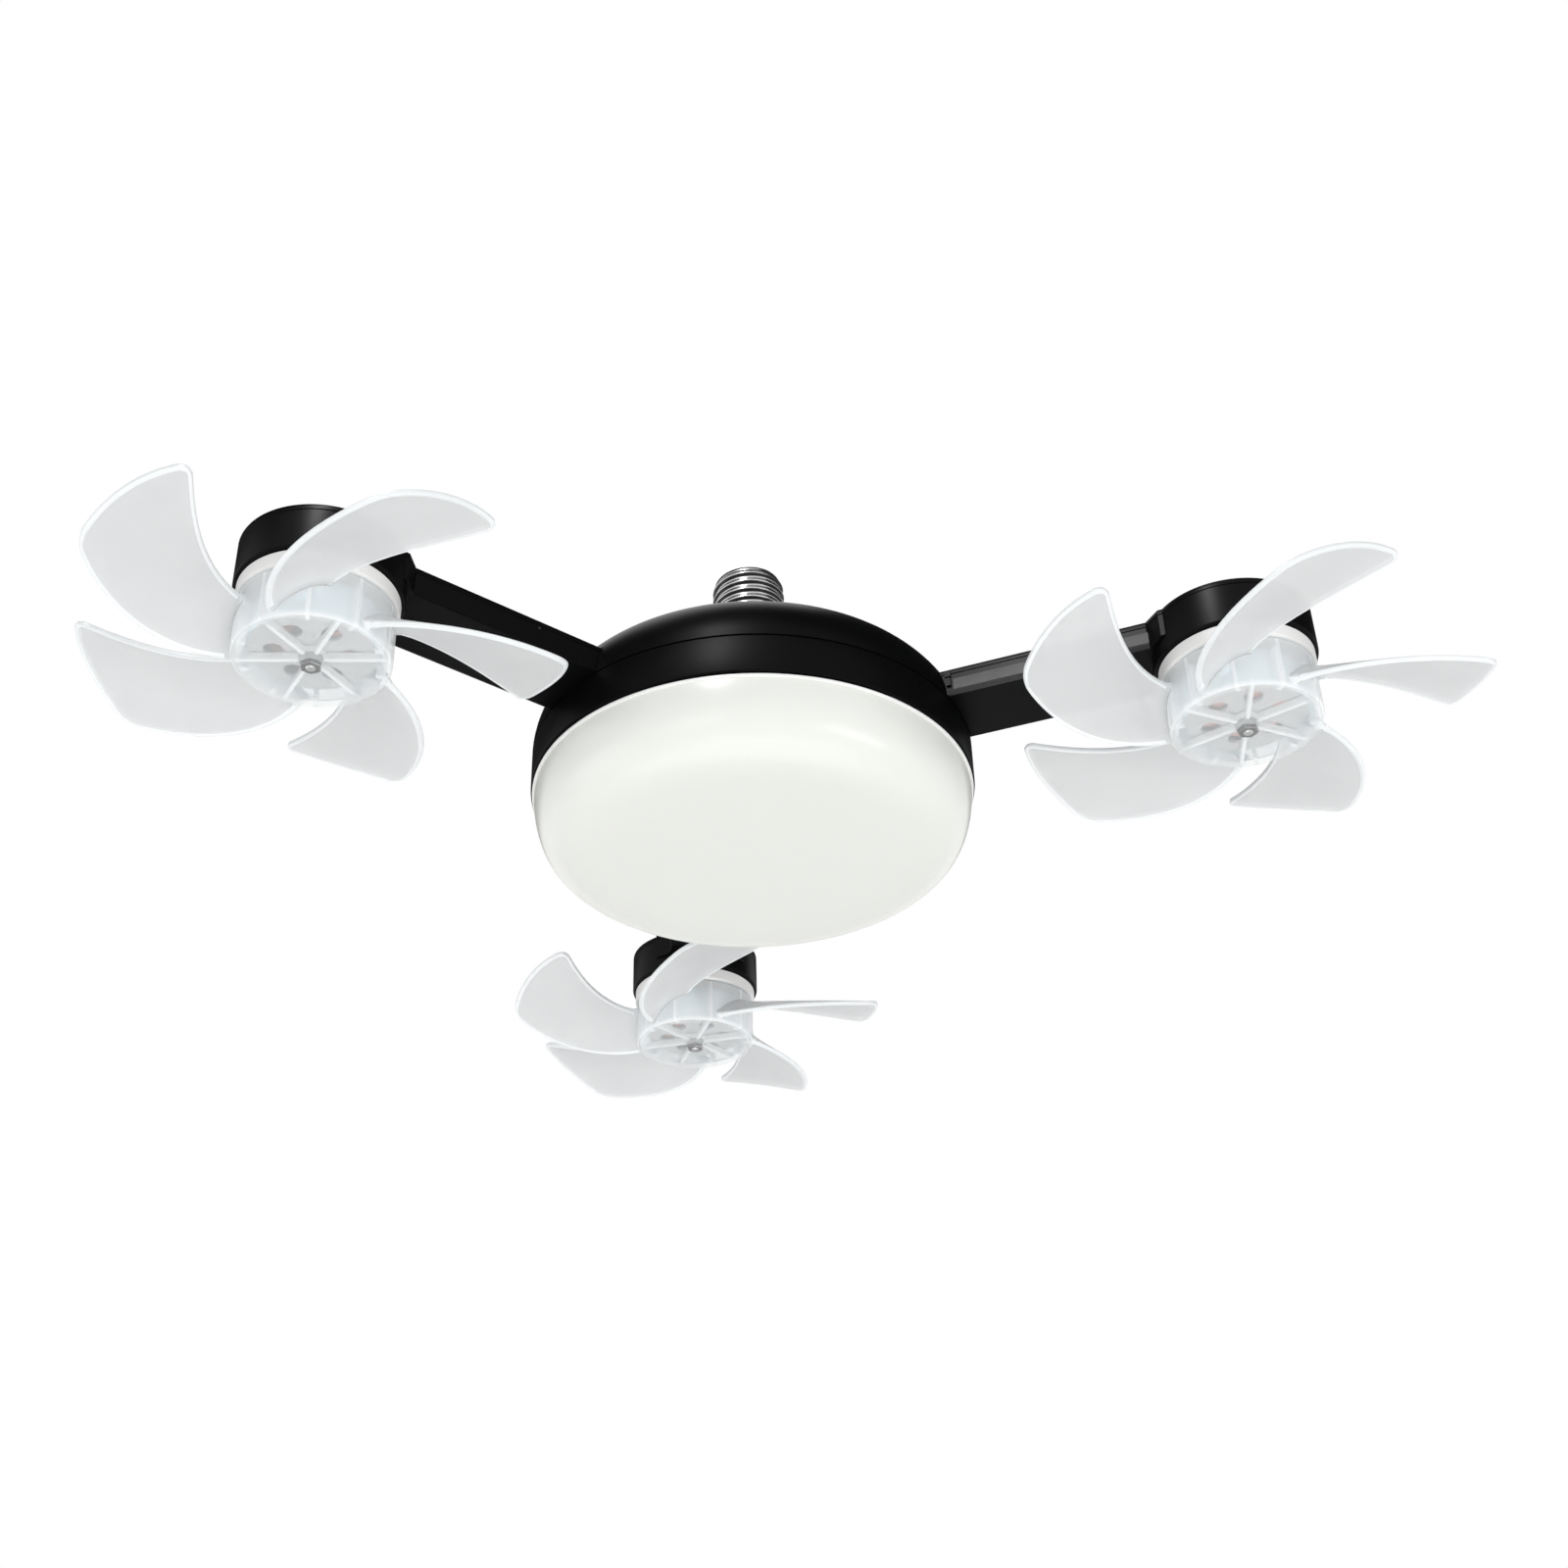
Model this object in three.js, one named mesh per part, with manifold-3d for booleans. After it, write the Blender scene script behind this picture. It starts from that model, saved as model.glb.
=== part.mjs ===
// A socket fan light: a screw cap and neck carry a round black lamp housing with an opal diffuser.
// Three arms stand out from the housing, and each holds a small motor that spins a frosted impeller.
// Millimetres, z up. The origin is the middle of the cap's contact face, and the lamp hangs below it.
import * as THREE from "three";
import { mergeVertices } from "three/addons/utils/BufferGeometryUtils.js";
import Module from "manifold-3d";

// Clearances
const fit = 0.3; // gap between two pieces that sit on or in each other
const runGap = 0.5; // gap between a turning piece and a still one
const over = 1; // how far a cutting shape runs past what it cuts
const weld = 0.001; // points nearer than this are one point

// Facets round a circle
const wide = 32;
const round = 20;
const motorFacets = 16; // motor parts inside the hub
const small = 12;
const tiny = 8;
const shank = 6;

// Screw cap and neck
const capRadius = 13.2; // over the thread's crests
const capLength = 27;
const neckLength = 30.3; // from the cap's rim to the housing's top

// Lamp housing
const housingRadius = 76.9;
const shellHeight = 28.2; // domed top shell, down to the seam
const ringHeight = 14.2; // lamp ring below the seam
const housingWall = 2.2;
const shoulderWidth = 30.8; // how far in the shell's shoulder runs

// Diffuser
const diffuserStep = 1.2; // how far in from the ring's side the bowl starts
const diffuserRadius = housingRadius - diffuserStep;
const diffuserDepth = 25.2;
const diffuserCorner = 14.5; // how far in the rounded corner runs
const diffuserWall = 1.6;

// Arms
const armReach = 168.4; // from the lamp's axis to the fan's axis
const armInset = 21.4; // how far the arm reaches into the housing
const armWidth = 27;
const armHeight = 10.6;
const armWall = 2;
const coverThickness = 2;
const armAngles = { back: 90, left: 210, right: 330 };

// Motor heads
const cupRadius = 26.1;
const cupHeight = 15.9;
const collarRadius = 24.9;
const collarHeight = 5.1;
const shaftRadius = 1.5;

// Impellers
const hubRadius = 24.1;
const hubHeight = 18.6;
const hubWall = 1.8;
const bladeCount = 5;
const leadReach = 73.3; // fan axis to the leading edge's end
const trailReach = 76.5; // fan axis to the trailing edge's end
const bladeThickness = 1.4;
const restAngles = { back: 167, left: 1.4, right: 142.2 }; // how far each fan has turned at rest, degrees

// Levels that more than one piece shares
const capRimZ = -capLength;
const housingTopZ = capRimZ - neckLength;
const seamZ = housingTopZ - shellHeight;
const ringTopZ = seamZ - fit;
const ringBottomZ = ringTopZ - ringHeight;
const armBottomZ = seamZ;
const armTopZ = armBottomZ + armHeight;
const wallTopZ = armTopZ - coverThickness - fit;
const cupBottomZ = armTopZ - cupHeight;
const collarTopZ = cupBottomZ - fit;
const collarBottomZ = collarTopZ - collarHeight;
const hubTopZ = collarBottomZ - runGap;
const hubBottomZ = hubTopZ - hubHeight;

const radians = THREE.MathUtils.degToRad;
const mix = THREE.MathUtils.lerp;
const wasm = await Module();
wasm.setup();

// A closed three.js geometry as a solid with its faces pointing out. A solid is passed through.
function solidOf(shape) {
  if (shape instanceof wasm.Manifold) return shape;
  const bare = shape.index ? shape.toNonIndexed() : shape.clone();
  bare.deleteAttribute("normal");
  bare.deleteAttribute("uv");
  const merged = mergeVertices(bare, weld);
  const corners = merged.index.array;
  const faces = [];
  for (let i = 0; i < corners.length; i += 3) {
    const [a, b, c] = corners.slice(i, i + 3);
    if (a !== b && b !== c && c !== a) faces.push([a, b, c]);
  }
  const build = (list) =>
    new wasm.Manifold(
      new wasm.Mesh({
        numProp: 3,
        vertProperties: merged.attributes.position.array,
        triVerts: new Uint32Array(list.flat()),
      }),
    );
  const solid = build(faces);
  return solid.volume() < 0 ? build(faces.map(([a, b, c]) => [a, c, b])) : solid;
}

function join(...shapes) {
  return shapes.map(solidOf).reduce((sum, next) => sum.add(next));
}

function cut(shape, ...tools) {
  return tools.map(solidOf).reduce((rest, tool) => rest.subtract(tool), solidOf(shape));
}

// A body turned about the z axis from its outline of [radius, z] corners.
function spin(outline, facets) {
  const points = outline.map(([radius, z]) => new THREE.Vector2(radius, z));
  const open = points[0].x === 0 && points[points.length - 1].x === 0;
  if (!open) points.push(points[0].clone());
  return new THREE.LatheGeometry(points, facets).rotateX(Math.PI / 2);
}

function rod(radius, lowZ, highZ, facets, x = 0, y = 0) {
  const geometry = new THREE.CylinderGeometry(radius, radius, highZ - lowZ, facets);
  return geometry.rotateX(Math.PI / 2).translate(x, y, (lowZ + highZ) / 2);
}

function tube(innerRadius, outerRadius, lowZ, highZ, facets) {
  const outline = [
    [innerRadius, lowZ],
    [outerRadius, lowZ],
    [outerRadius, highZ],
    [innerRadius, highZ],
  ];
  return spin(outline, facets);
}

function block([lowX, highX], [lowY, highY], [lowZ, highZ]) {
  const geometry = new THREE.BoxGeometry(highX - lowX, highY - lowY, highZ - lowZ);
  return geometry.translate((lowX + highX) / 2, (lowY + highY) / 2, (lowZ + highZ) / 2);
}

// A flat outline of [x, y] corners, raised between two levels.
function plate(corners, lowZ, highZ) {
  const shape = new THREE.Shape(corners.map(([x, y]) => new THREE.Vector2(x, y)));
  const geometry = new THREE.ExtrudeGeometry(shape, { depth: highZ - lowZ, bevelEnabled: false });
  return geometry.translate(0, 0, lowZ);
}

// A flat outline of [y, z] corners, run along x between two places.
function run(corners, lowX, highX) {
  const x = new THREE.Vector3(1, 0, 0);
  const y = new THREE.Vector3(0, 1, 0);
  const z = new THREE.Vector3(0, 0, 1);
  return plate(corners, lowX, highX).applyMatrix4(new THREE.Matrix4().makeBasis(y, z, x));
}

function turned(geometry, degrees) {
  return geometry.clone().rotateZ(radians(degrees));
}

// A closed body through rings of points. The last ring joins the first, or both ends are capped.
// A cap joins the ring's first half to its second half, point by point.
function skin(rings, looped) {
  const count = rings[0].length;
  const points = rings.flat();
  const faces = [];
  const steps = looped ? rings.length : rings.length - 1;
  for (let i = 0; i < steps; i++) {
    const here = i * count;
    const there = ((i + 1) % rings.length) * count;
    for (let j = 0; j < count; j++) {
      const k = (j + 1) % count;
      faces.push(here + j, here + k, there + k);
      faces.push(here + j, there + k, there + j);
    }
  }
  if (!looped) {
    const lastRow = (rings.length - 1) * count;
    for (let j = 0; j < count / 2 - 1; j++) {
      const pair = count - 1 - j;
      faces.push(j, pair, pair - 1);
      faces.push(j, pair - 1, j + 1);
      faces.push(lastRow + j, lastRow + j + 1, lastRow + pair - 1);
      faces.push(lastRow + j, lastRow + pair - 1, lastRow + pair);
    }
  }
  const geometry = new THREE.BufferGeometry();
  geometry.setFromPoints(points);
  geometry.setIndex(faces);
  return geometry;
}

// Finishes
const finishes = {
  blackPlastic: { color: 0x141415, roughness: 0.42, metalness: 0 },
  opalPlastic: { color: 0xf1f3ec, roughness: 0.35, metalness: 0 },
  whitePlastic: { color: 0xf4f3f0, roughness: 0.45, metalness: 0 },
  frostedPlastic: { color: 0xe4e8e9, roughness: 0.3, metalness: 0, transparent: true, opacity: 0.8 },
  nickel: { color: 0xb9bbbd, roughness: 0.25, metalness: 1 },
  steel: { color: 0xc3c8cc, roughness: 0.35, metalness: 1 },
  brass: { color: 0xb08d57, roughness: 0.35, metalness: 1 },
  copper: { color: 0xb4674a, roughness: 0.4, metalness: 1 },
  aluminium: { color: 0xc9cbcc, roughness: 0.4, metalness: 1 },
  magnet: { color: 0x3a3b3d, roughness: 0.7, metalness: 0 },
  glassBlack: { color: 0x17171a, roughness: 0.2, metalness: 0 },
  circuitWhite: { color: 0xeeeeea, roughness: 0.5, metalness: 0 },
  circuitGreen: { color: 0x1d5a3a, roughness: 0.5, metalness: 0 },
  wireCover: { color: 0xd8d8d4, roughness: 0.5, metalness: 0 },
};

function piece(name, shape, finish) {
  const mesh = solidOf(shape).getMesh();
  const geometry = new THREE.BufferGeometry();
  geometry.setAttribute("position", new THREE.BufferAttribute(mesh.vertProperties, mesh.numProp));
  geometry.setIndex(new THREE.BufferAttribute(mesh.triVerts, 1));
  geometry.computeVertexNormals();
  const node = new THREE.Mesh(geometry, new THREE.MeshStandardMaterial(finishes[finish]));
  node.name = name;
  return node;
}

// A pan-head screw that points up: its head hangs below headZ, and its shank reaches tipZ.
const crossArmShare = 0.6; // the cross recess's arm over the head's radius
const crossSlotShare = 0.33; // its slot's width over the head's radius
const crossDepthShare = 0.5; // its depth over the head's
function screw(shankRadius, headRadius, headDepth, headZ, tipZ) {
  const slotWidth = headRadius * crossSlotShare;
  const slotDepth = headDepth * crossDepthShare;
  const headBottomZ = headZ - headDepth;
  const body = join(
    rod(headRadius, headBottomZ, headZ, tiny),
    rod(shankRadius, headZ - slotDepth, tipZ, shank),
  );
  const slotSpan = [-slotWidth / 2, slotWidth / 2];
  const armSpan = [-headRadius * crossArmShare, headRadius * crossArmShare];
  const depthSpan = [headBottomZ - over, headBottomZ + slotDepth];
  return cut(body, block(slotSpan, armSpan, depthSpan), block(armSpan, slotSpan, depthSpan));
}

// Screw cap: contact rivet, insulating glass and threaded shell
const contactRadius = 4.9;
const contactFlat = 3.6; // radius of its flat face
const contactThickness = 1.2;
const rivetRadius = 1.5;
const rivetLength = 5;
const insulatorRadius = 8.7;
const insulatorCone = 3; // height of the insulator's cone
const insulatorPlug = 4.5; // length of its plug inside the shell
const shellLipRadius = 9.4; // the threaded shell's inner lip round the insulator
const capWall = 0.5;
const threadPitch = 3.63;
const threadDepth = 1.1;
const threadTurns = 4.5;
const threadFacets = 18;
const threadRows = 4; // rows of points for each turn
const threadTopGap = 3; // shell's top to the first crest

const contactBottomZ = -contactThickness;
const insulatorTopZ = contactBottomZ - fit;
const capShellTopZ = insulatorTopZ - insulatorCone;

function capContact() {
  const stemBottomZ = contactBottomZ - rivetLength;
  return spin(
    [
      [0, 0],
      [contactFlat, 0],
      [contactRadius, contactBottomZ / 2],
      [contactRadius, contactBottomZ],
      [rivetRadius, contactBottomZ],
      [rivetRadius, stemBottomZ],
      [0, stemBottomZ],
    ],
    small,
  );
}

function capInsulator() {
  const plugBottomZ = capShellTopZ - insulatorPlug;
  return spin(
    [
      [rivetRadius + fit, insulatorTopZ],
      [contactRadius, insulatorTopZ],
      [insulatorRadius, capShellTopZ],
      [insulatorRadius, plugBottomZ],
      [rivetRadius + fit, plugBottomZ],
    ],
    round,
  );
}

// How far the thread stands out at a depth below the shell's top: it fades in and out over a pitch.
function threadFade(depth) {
  const threadEnd = threadTopGap + threadTurns * threadPitch;
  const rise = Math.min(depth - threadTopGap, threadEnd - depth) / threadPitch;
  return THREE.MathUtils.clamp(rise + 1 / 2, 0, 1);
}

const capInnerRadius = capRadius - threadDepth - capWall;

function capShell() {
  const meanRadius = capRadius - threadDepth / 2;
  const rootRadius = capRadius - threadDepth;
  const shellDepth = capLength + capShellTopZ;
  const rowDepth = threadPitch / threadRows;
  const rows = Math.round(shellDepth / rowDepth);
  const rings = [];
  const ring = (radiusAt, z) =>
    Array.from({ length: threadFacets }, (_, j) => {
      const angle = (j / threadFacets) * 2 * Math.PI;
      const radius = radiusAt(angle);
      return new THREE.Vector3(radius * Math.cos(angle), radius * Math.sin(angle), z);
    });
  rings.push(ring(() => insulatorRadius + fit, capShellTopZ));
  rings.push(ring(() => shellLipRadius, capShellTopZ));
  for (let i = 1; i <= rows; i++) {
    const depth = (i / rows) * shellDepth;
    const shoulder = Math.min(depth / threadTopGap, 1);
    const plainRadius = mix(shellLipRadius, rootRadius, Math.sqrt(shoulder * (2 - shoulder)));
    const wave = (angle) => Math.cos((depth / threadPitch) * 2 * Math.PI + angle);
    const grown = (angle) => meanRadius + (threadDepth / 2) * wave(angle);
    rings.push(ring((angle) => mix(plainRadius, grown(angle), threadFade(depth)), -depth + capShellTopZ));
  }
  rings.push(ring(() => capInnerRadius, capRimZ));
  rings.push(ring(() => capInnerRadius, capShellTopZ - threadTopGap));
  rings.push(ring(() => insulatorRadius + fit, capShellTopZ - threadTopGap));
  return skin(rings, true);
}

// Neck: a hollow plastic stalk plugged into the cap and held under the housing's top by a ring nut
const neckPlugLength = 12; // reach up into the cap
const neckTopRadius = 13.4;
const neckWaistRadius = 19;
const neckBoreRadius = 8;
const neckFlangeRadius = 24.5;
const neckFlangeThickness = 2.4;
const neckGrooveDepth = 0.6;
const neckGrooveWidth = 1.2;
const neckSpigotRadius = 16.5;
const lockRingRadius = 22;
const lockRingHeight = 3;
const lockRingNotch = 3;

const flangeBottomZ = housingTopZ + fit;
const flangeTopZ = flangeBottomZ + neckFlangeThickness;
const plateBottomZ = housingTopZ - housingWall;
const lockRingTopZ = plateBottomZ - fit;
const lockRingBottomZ = lockRingTopZ - lockRingHeight;

function neck() {
  const topZ = capRimZ - fit;
  const plugTopZ = capRimZ + neckPlugLength;
  const grooveZ = topZ - neckLength / 4;
  const grooveRadius = mix(neckTopRadius, neckWaistRadius, 1 / 4);
  const waistZ = flangeTopZ + neckLength / 8;
  const outline = [
    [neckBoreRadius, lockRingBottomZ],
    [neckSpigotRadius, lockRingBottomZ],
    [neckSpigotRadius, flangeBottomZ],
    [neckFlangeRadius, flangeBottomZ],
    [neckFlangeRadius, flangeTopZ],
    [neckWaistRadius + neckGrooveWidth, flangeTopZ],
    [neckWaistRadius, waistZ],
    [grooveRadius, grooveZ - neckGrooveWidth],
    [grooveRadius - neckGrooveDepth, grooveZ - neckGrooveWidth],
    [grooveRadius - neckGrooveDepth, grooveZ],
    [grooveRadius, grooveZ],
    [neckTopRadius, topZ],
    [capInnerRadius - fit, topZ],
    [capInnerRadius - fit, plugTopZ],
    [neckBoreRadius, plugTopZ],
  ];
  return spin(outline, round);
}

function lockRing() {
  const ring = tube(neckSpigotRadius + fit, lockRingRadius, lockRingBottomZ, lockRingTopZ, round);
  const notch = block(
    [lockRingRadius - lockRingNotch / 2, lockRingRadius + over],
    [-lockRingNotch / 2, lockRingNotch / 2],
    [lockRingBottomZ - over, lockRingTopZ + over],
  );
  return cut(ring, ...[0, 90, 180, 270].map((degrees) => turned(notch, degrees)));
}

// Fasteners inside the housing
const bodyScrewInset = 16.9; // housing's side to the screws that hold the ring
const bodyScrewCircle = housingRadius - bodyScrewInset;
const bodyScrewAngles = [30, 150, 270];
const bodyScrewShank = 1.4;
const bodyScrewHead = 2.8;
const bodyScrewHeadDepth = 1.6;
const bodyScrewGrip = 10; // how far the thread reaches into its boss
const bodyBossRadius = 3.8;
const armScrewInset = 13.9; // housing's side to the arm's screw
const armScrewDistance = housingRadius - armScrewInset;
const armScrewShank = 1.5;
const armScrewHead = 2.9;
const armScrewHeadDepth = 1.3;
const armScrewGrip = 6;
const armBossRadius = 3.8;

// Lamp ring's shelf and the heat plate below it
const shelfDrop = 2.5; // ring's top to its shelf
const shelfThickness = 2;
const shelfPastScrew = 5; // screws to the shelf's inner edge
const shelfInnerRadius = bodyScrewCircle - shelfPastScrew;
const ringLipHeight = 3;
const ringLipWall = 1.6;
const heatPlateThickness = 2;
const shelfTopZ = ringTopZ - shelfDrop;
const shelfBottomZ = shelfTopZ - shelfThickness;
const heatPlateTopZ = shelfBottomZ - fit;
const heatPlateBottomZ = heatPlateTopZ - heatPlateThickness;
const bodyBossBottomZ = shelfTopZ + fit;

const shoulderShares = [0, 0.25, 0.48, 0.68, 0.85, 1];

// The shell's shoulder from its flat top's edge to the seam, set in from the outside by the wall.
function shoulder(inset) {
  const width = shoulderWidth - inset;
  const height = shellHeight - inset;
  return shoulderShares.map((share) => {
    const angle = (share * Math.PI) / 2;
    return [housingRadius - shoulderWidth + width * Math.sin(angle), seamZ + height * Math.cos(angle)];
  });
}

// Radius of the shell's inside at a height near the seam.
function shellInside(z) {
  const [[aboveRadius, aboveZ], [seamRadius]] = shoulder(housingWall).slice(-2);
  return mix(seamRadius, aboveRadius, (z - seamZ) / (aboveZ - seamZ));
}

const bodyScrewTipZ = bodyBossBottomZ + bodyScrewGrip;
const armScrewTipZ = armTopZ + fit + armScrewGrip;

function topHousing() {
  const holeRadius = neckSpigotRadius + fit;
  const outer = shoulder(0);
  const inner = shoulder(housingWall).reverse();
  const shell = spin([[holeRadius, housingTopZ], ...outer, ...inner, [holeRadius, plateBottomZ]], wide);
  const inside = spin([[0, housingTopZ], ...outer, [0, seamZ]], wide);
  const bodyBoss = rod(bodyBossRadius, bodyBossBottomZ, housingTopZ, tiny, bodyScrewCircle);
  const armBoss = rod(armBossRadius, armTopZ + fit, housingTopZ, tiny, armScrewDistance);
  const bodyHoleRadius = bodyScrewShank + fit;
  const bodyHole = rod(bodyHoleRadius, bodyBossBottomZ - over, bodyScrewTipZ + over, tiny, bodyScrewCircle);
  const armHole = rod(armScrewShank + fit, armTopZ - over, armScrewTipZ + over, tiny, armScrewDistance);
  const mouth = block(
    [housingRadius - shoulderWidth, housingRadius + over],
    [-armWidth / 2 - fit, armWidth / 2 + fit],
    [seamZ - over, armTopZ + fit],
  );
  const bodyBosses = bodyScrewAngles.map((degrees) => turned(bodyBoss, degrees));
  const armBosses = Object.values(armAngles).map((degrees) => turned(armBoss, degrees));
  const belowSeam = bodyScrewAngles.map((degrees) =>
    turned(rod(bodyBossRadius, bodyBossBottomZ, seamZ + over, tiny, bodyScrewCircle), degrees),
  );
  const insideBosses = join(...bodyBosses, ...armBosses).intersect(solidOf(inside));
  const bodyHoles = bodyScrewAngles.map((degrees) => turned(bodyHole, degrees));
  const armHoles = Object.values(armAngles).map((degrees) => turned(armHole, degrees));
  const mouths = Object.values(armAngles).map((degrees) => turned(mouth, degrees));
  return cut(join(shell, insideBosses, ...belowSeam), ...bodyHoles, ...armHoles, ...mouths);
}

function lampRing() {
  const wallRadius = housingRadius - housingWall;
  const lipRadius = wallRadius - fit;
  const lipTopZ = ringTopZ + ringLipHeight;
  const lipTopRadius = shellInside(lipTopZ) - fit;
  const lipInner = lipTopRadius - ringLipWall;
  const outline = [
    [shelfInnerRadius, shelfBottomZ],
    [wallRadius, shelfBottomZ],
    [wallRadius, ringBottomZ],
    [housingRadius, ringBottomZ],
    [housingRadius, ringTopZ],
    [lipRadius, ringTopZ],
    [lipTopRadius, lipTopZ],
    [lipInner, lipTopZ],
    [lipInner, shelfTopZ],
    [shelfInnerRadius, shelfTopZ],
  ];
  const hole = rod(bodyScrewShank + fit, shelfBottomZ - over, shelfTopZ + over, tiny, bodyScrewCircle);
  const armGap = block(
    [shelfInnerRadius, lipRadius + fit / 2],
    [-armWidth / 2 - fit, armWidth / 2 + fit],
    [ringTopZ, lipTopZ + over],
  );
  const holes = bodyScrewAngles.map((degrees) => turned(hole, degrees));
  const armGaps = Object.values(armAngles).map((degrees) => turned(armGap, degrees));
  return cut(spin(outline, wide), ...holes, ...armGaps);
}

// Heat plate and LED board
const boardPastScrew = 6; // screws to the board's edge
const ledBoardRadius = bodyScrewCircle + boardPastScrew;
const ledBoardThickness = 1.6;
const ledSize = 3.2;
const ledHeight = 0.8;
const ledRings = [
  { radiusShare: 0.36, count: 6 },
  { radiusShare: 0.7, count: 12 },
];
const wireHoleRadius = 4;

function heatPlate() {
  const radius = housingRadius - housingWall - 2 * fit;
  const holeRadius = bodyScrewShank + fit;
  const hole = rod(holeRadius, heatPlateBottomZ - over, heatPlateTopZ + over, tiny, bodyScrewCircle);
  const wireHole = rod(wireHoleRadius, heatPlateBottomZ - over, heatPlateTopZ + over, tiny);
  const holes = bodyScrewAngles.map((degrees) => turned(hole, degrees));
  return cut(rod(radius, heatPlateBottomZ, heatPlateTopZ, round), wireHole, ...holes);
}

function ledBoard() {
  const topZ = heatPlateBottomZ - fit;
  const bottomZ = topZ - ledBoardThickness;
  const board = tube(wireHoleRadius, ledBoardRadius, bottomZ, topZ, round);
  const headHole = rod(bodyScrewHead + fit, bottomZ - over, topZ + over, small, bodyScrewCircle);
  const lights = ledRings.flatMap(({ radiusShare, count }) => {
    const radius = ledBoardRadius * radiusShare;
    const light = block(
      [radius - ledSize / 2, radius + ledSize / 2],
      [-ledSize / 2, ledSize / 2],
      [bottomZ - ledHeight, topZ - ledBoardThickness / 2],
    );
    return Array.from({ length: count }, (_, i) => turned(light, (i * 360) / count));
  });
  return cut(join(board, ...lights), ...bodyScrewAngles.map((degrees) => turned(headHole, degrees)));
}

// Opal diffuser: a bowl with an upright lip inside the lamp ring
const diffuserLipHeight = 5;
const diffuserLipWall = 1.8;
const diffuserTopZ = ringBottomZ - fit;
const diffuserBottomZ = diffuserTopZ - diffuserDepth;

function diffuser() {
  const cornerSteps = 5;
  const bowl = (inset) =>
    Array.from({ length: cornerSteps + 1 }, (_, i) => {
      const angle = (i / cornerSteps) * (Math.PI / 2);
      const radius = diffuserRadius - diffuserCorner + (diffuserCorner - inset) * Math.cos(angle);
      return [radius, diffuserTopZ - (diffuserDepth - inset) * Math.sin(angle)];
    });
  const lipOuter = housingRadius - housingWall - fit;
  const lipInner = lipOuter - diffuserLipWall;
  const lipTopZ = diffuserTopZ + diffuserLipHeight;
  const outline = [
    [0, diffuserBottomZ],
    ...bowl(0).reverse(),
    [lipOuter, diffuserTopZ],
    [lipOuter, lipTopZ],
    [lipInner, lipTopZ],
    [lipInner, diffuserTopZ],
    ...bowl(diffuserWall).slice(1),
    [0, diffuserBottomZ + diffuserWall],
  ];
  return spin(outline, wide);
}

// Driver board and remote receiver, on legs over the heat plate
const boardThickness = 1.6;
const boardLift = 5; // leg height
const boardLegRadius = 2.4;
const driverLength = 64;
const driverWidth = 42;
const driverTallest = 13; // transformer height
// Boxes on the driver board: places and plan sizes over the board's, heights over the tallest one's
const driverPartShares = [
  { x: -0.31, y: 0.14, length: 0.27, width: 0.36, height: 1 },
  { x: 0.03, y: 0.19, length: 0.19, width: 0.29, height: 0.7 },
  { x: 0.31, y: -0.19, length: 0.22, width: 0.21, height: 0.55 },
];
const capacitorRadius = 5;
const capacitorHeight = 14;
const capacitorPlaceShares = { x: 0.28, y: 0.24 }; // its place over the board's sizes
const receiverLength = 26;
const receiverWidth = 15;
const receiverGap = 6; // driver board's edge to the receiver board's
const receiverChip = 7;
const receiverChipHeight = 1.8;

const receiverY = -(driverWidth + receiverWidth) / 2 - receiverGap;

function boardOnLegs(length, width, y) {
  const bottomZ = heatPlateTopZ + fit + boardLift;
  const topZ = bottomZ + boardThickness;
  const board = block([-length / 2, length / 2], [y - width / 2, y + width / 2], [bottomZ, topZ]);
  const legX = length / 2 - boardLegRadius;
  const legY = width / 2 - boardLegRadius;
  const legs = [-1, 1].flatMap((sideX) =>
    [-1, 1].map((sideY) =>
      rod(boardLegRadius, heatPlateTopZ + fit, (bottomZ + topZ) / 2, tiny, sideX * legX, y + sideY * legY),
    ),
  );
  return join(board, ...legs);
}

function driverBoard() {
  const middleZ = heatPlateTopZ + fit + boardLift + boardThickness / 2;
  const topZ = middleZ + boardThickness / 2;
  const boxes = driverPartShares.map(({ x, y, length, width, height }) =>
    block(
      [driverLength * (x - length / 2), driverLength * (x + length / 2)],
      [driverWidth * (y - width / 2), driverWidth * (y + width / 2)],
      [middleZ, topZ + driverTallest * height],
    ),
  );
  const canX = driverLength * capacitorPlaceShares.x;
  const canY = driverWidth * capacitorPlaceShares.y;
  const can = rod(capacitorRadius, middleZ, topZ + capacitorHeight, small, canX, canY);
  return join(boardOnLegs(driverLength, driverWidth, 0), can, ...boxes);
}

function receiverBoard() {
  const middleZ = heatPlateTopZ + fit + boardLift + boardThickness / 2;
  const chip = block(
    [-receiverChip / 2, receiverChip / 2],
    [receiverY - receiverChip / 2, receiverY + receiverChip / 2],
    [middleZ, middleZ + boardThickness / 2 + receiverChipHeight],
  );
  return join(boardOnLegs(receiverLength, receiverWidth, receiverY), chip);
}

// Arm: a channel that ends in a motor cup, with a flat cover over both
const armRootDistance = housingRadius - armInset;
const flareOverlap = 1.2; // cup's edge to where the arm begins to widen
const neckStart = armReach - cupRadius + flareOverlap;
const neckFlare = 5; // how far it widens each side, and over what length
const railProud = 1; // step along the arm's clockwise side
const railTopDrop = 4.4; // arm's top to the rail's upper edge
const railCrease = 1.6; // height of the sloping face below the rail's crease
const railLean = 0.7; // how far that face leans in
const cupWall = 2;
const cupFloor = 2;
const cupOpening = 13; // radius of the hole in the cup's floor
const postRadius = 4;
const collarScrewCircle = 19;
const collarScrewShank = 1.2;
const collarScrewHead = 2.4;
const collarScrewHeadDepth = 1.2;
const collarScrewGrip = 3;
const coverTabLength = 10;
const coverTabDrop = 2.5;
const coverTabWall = 1.2;

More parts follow.
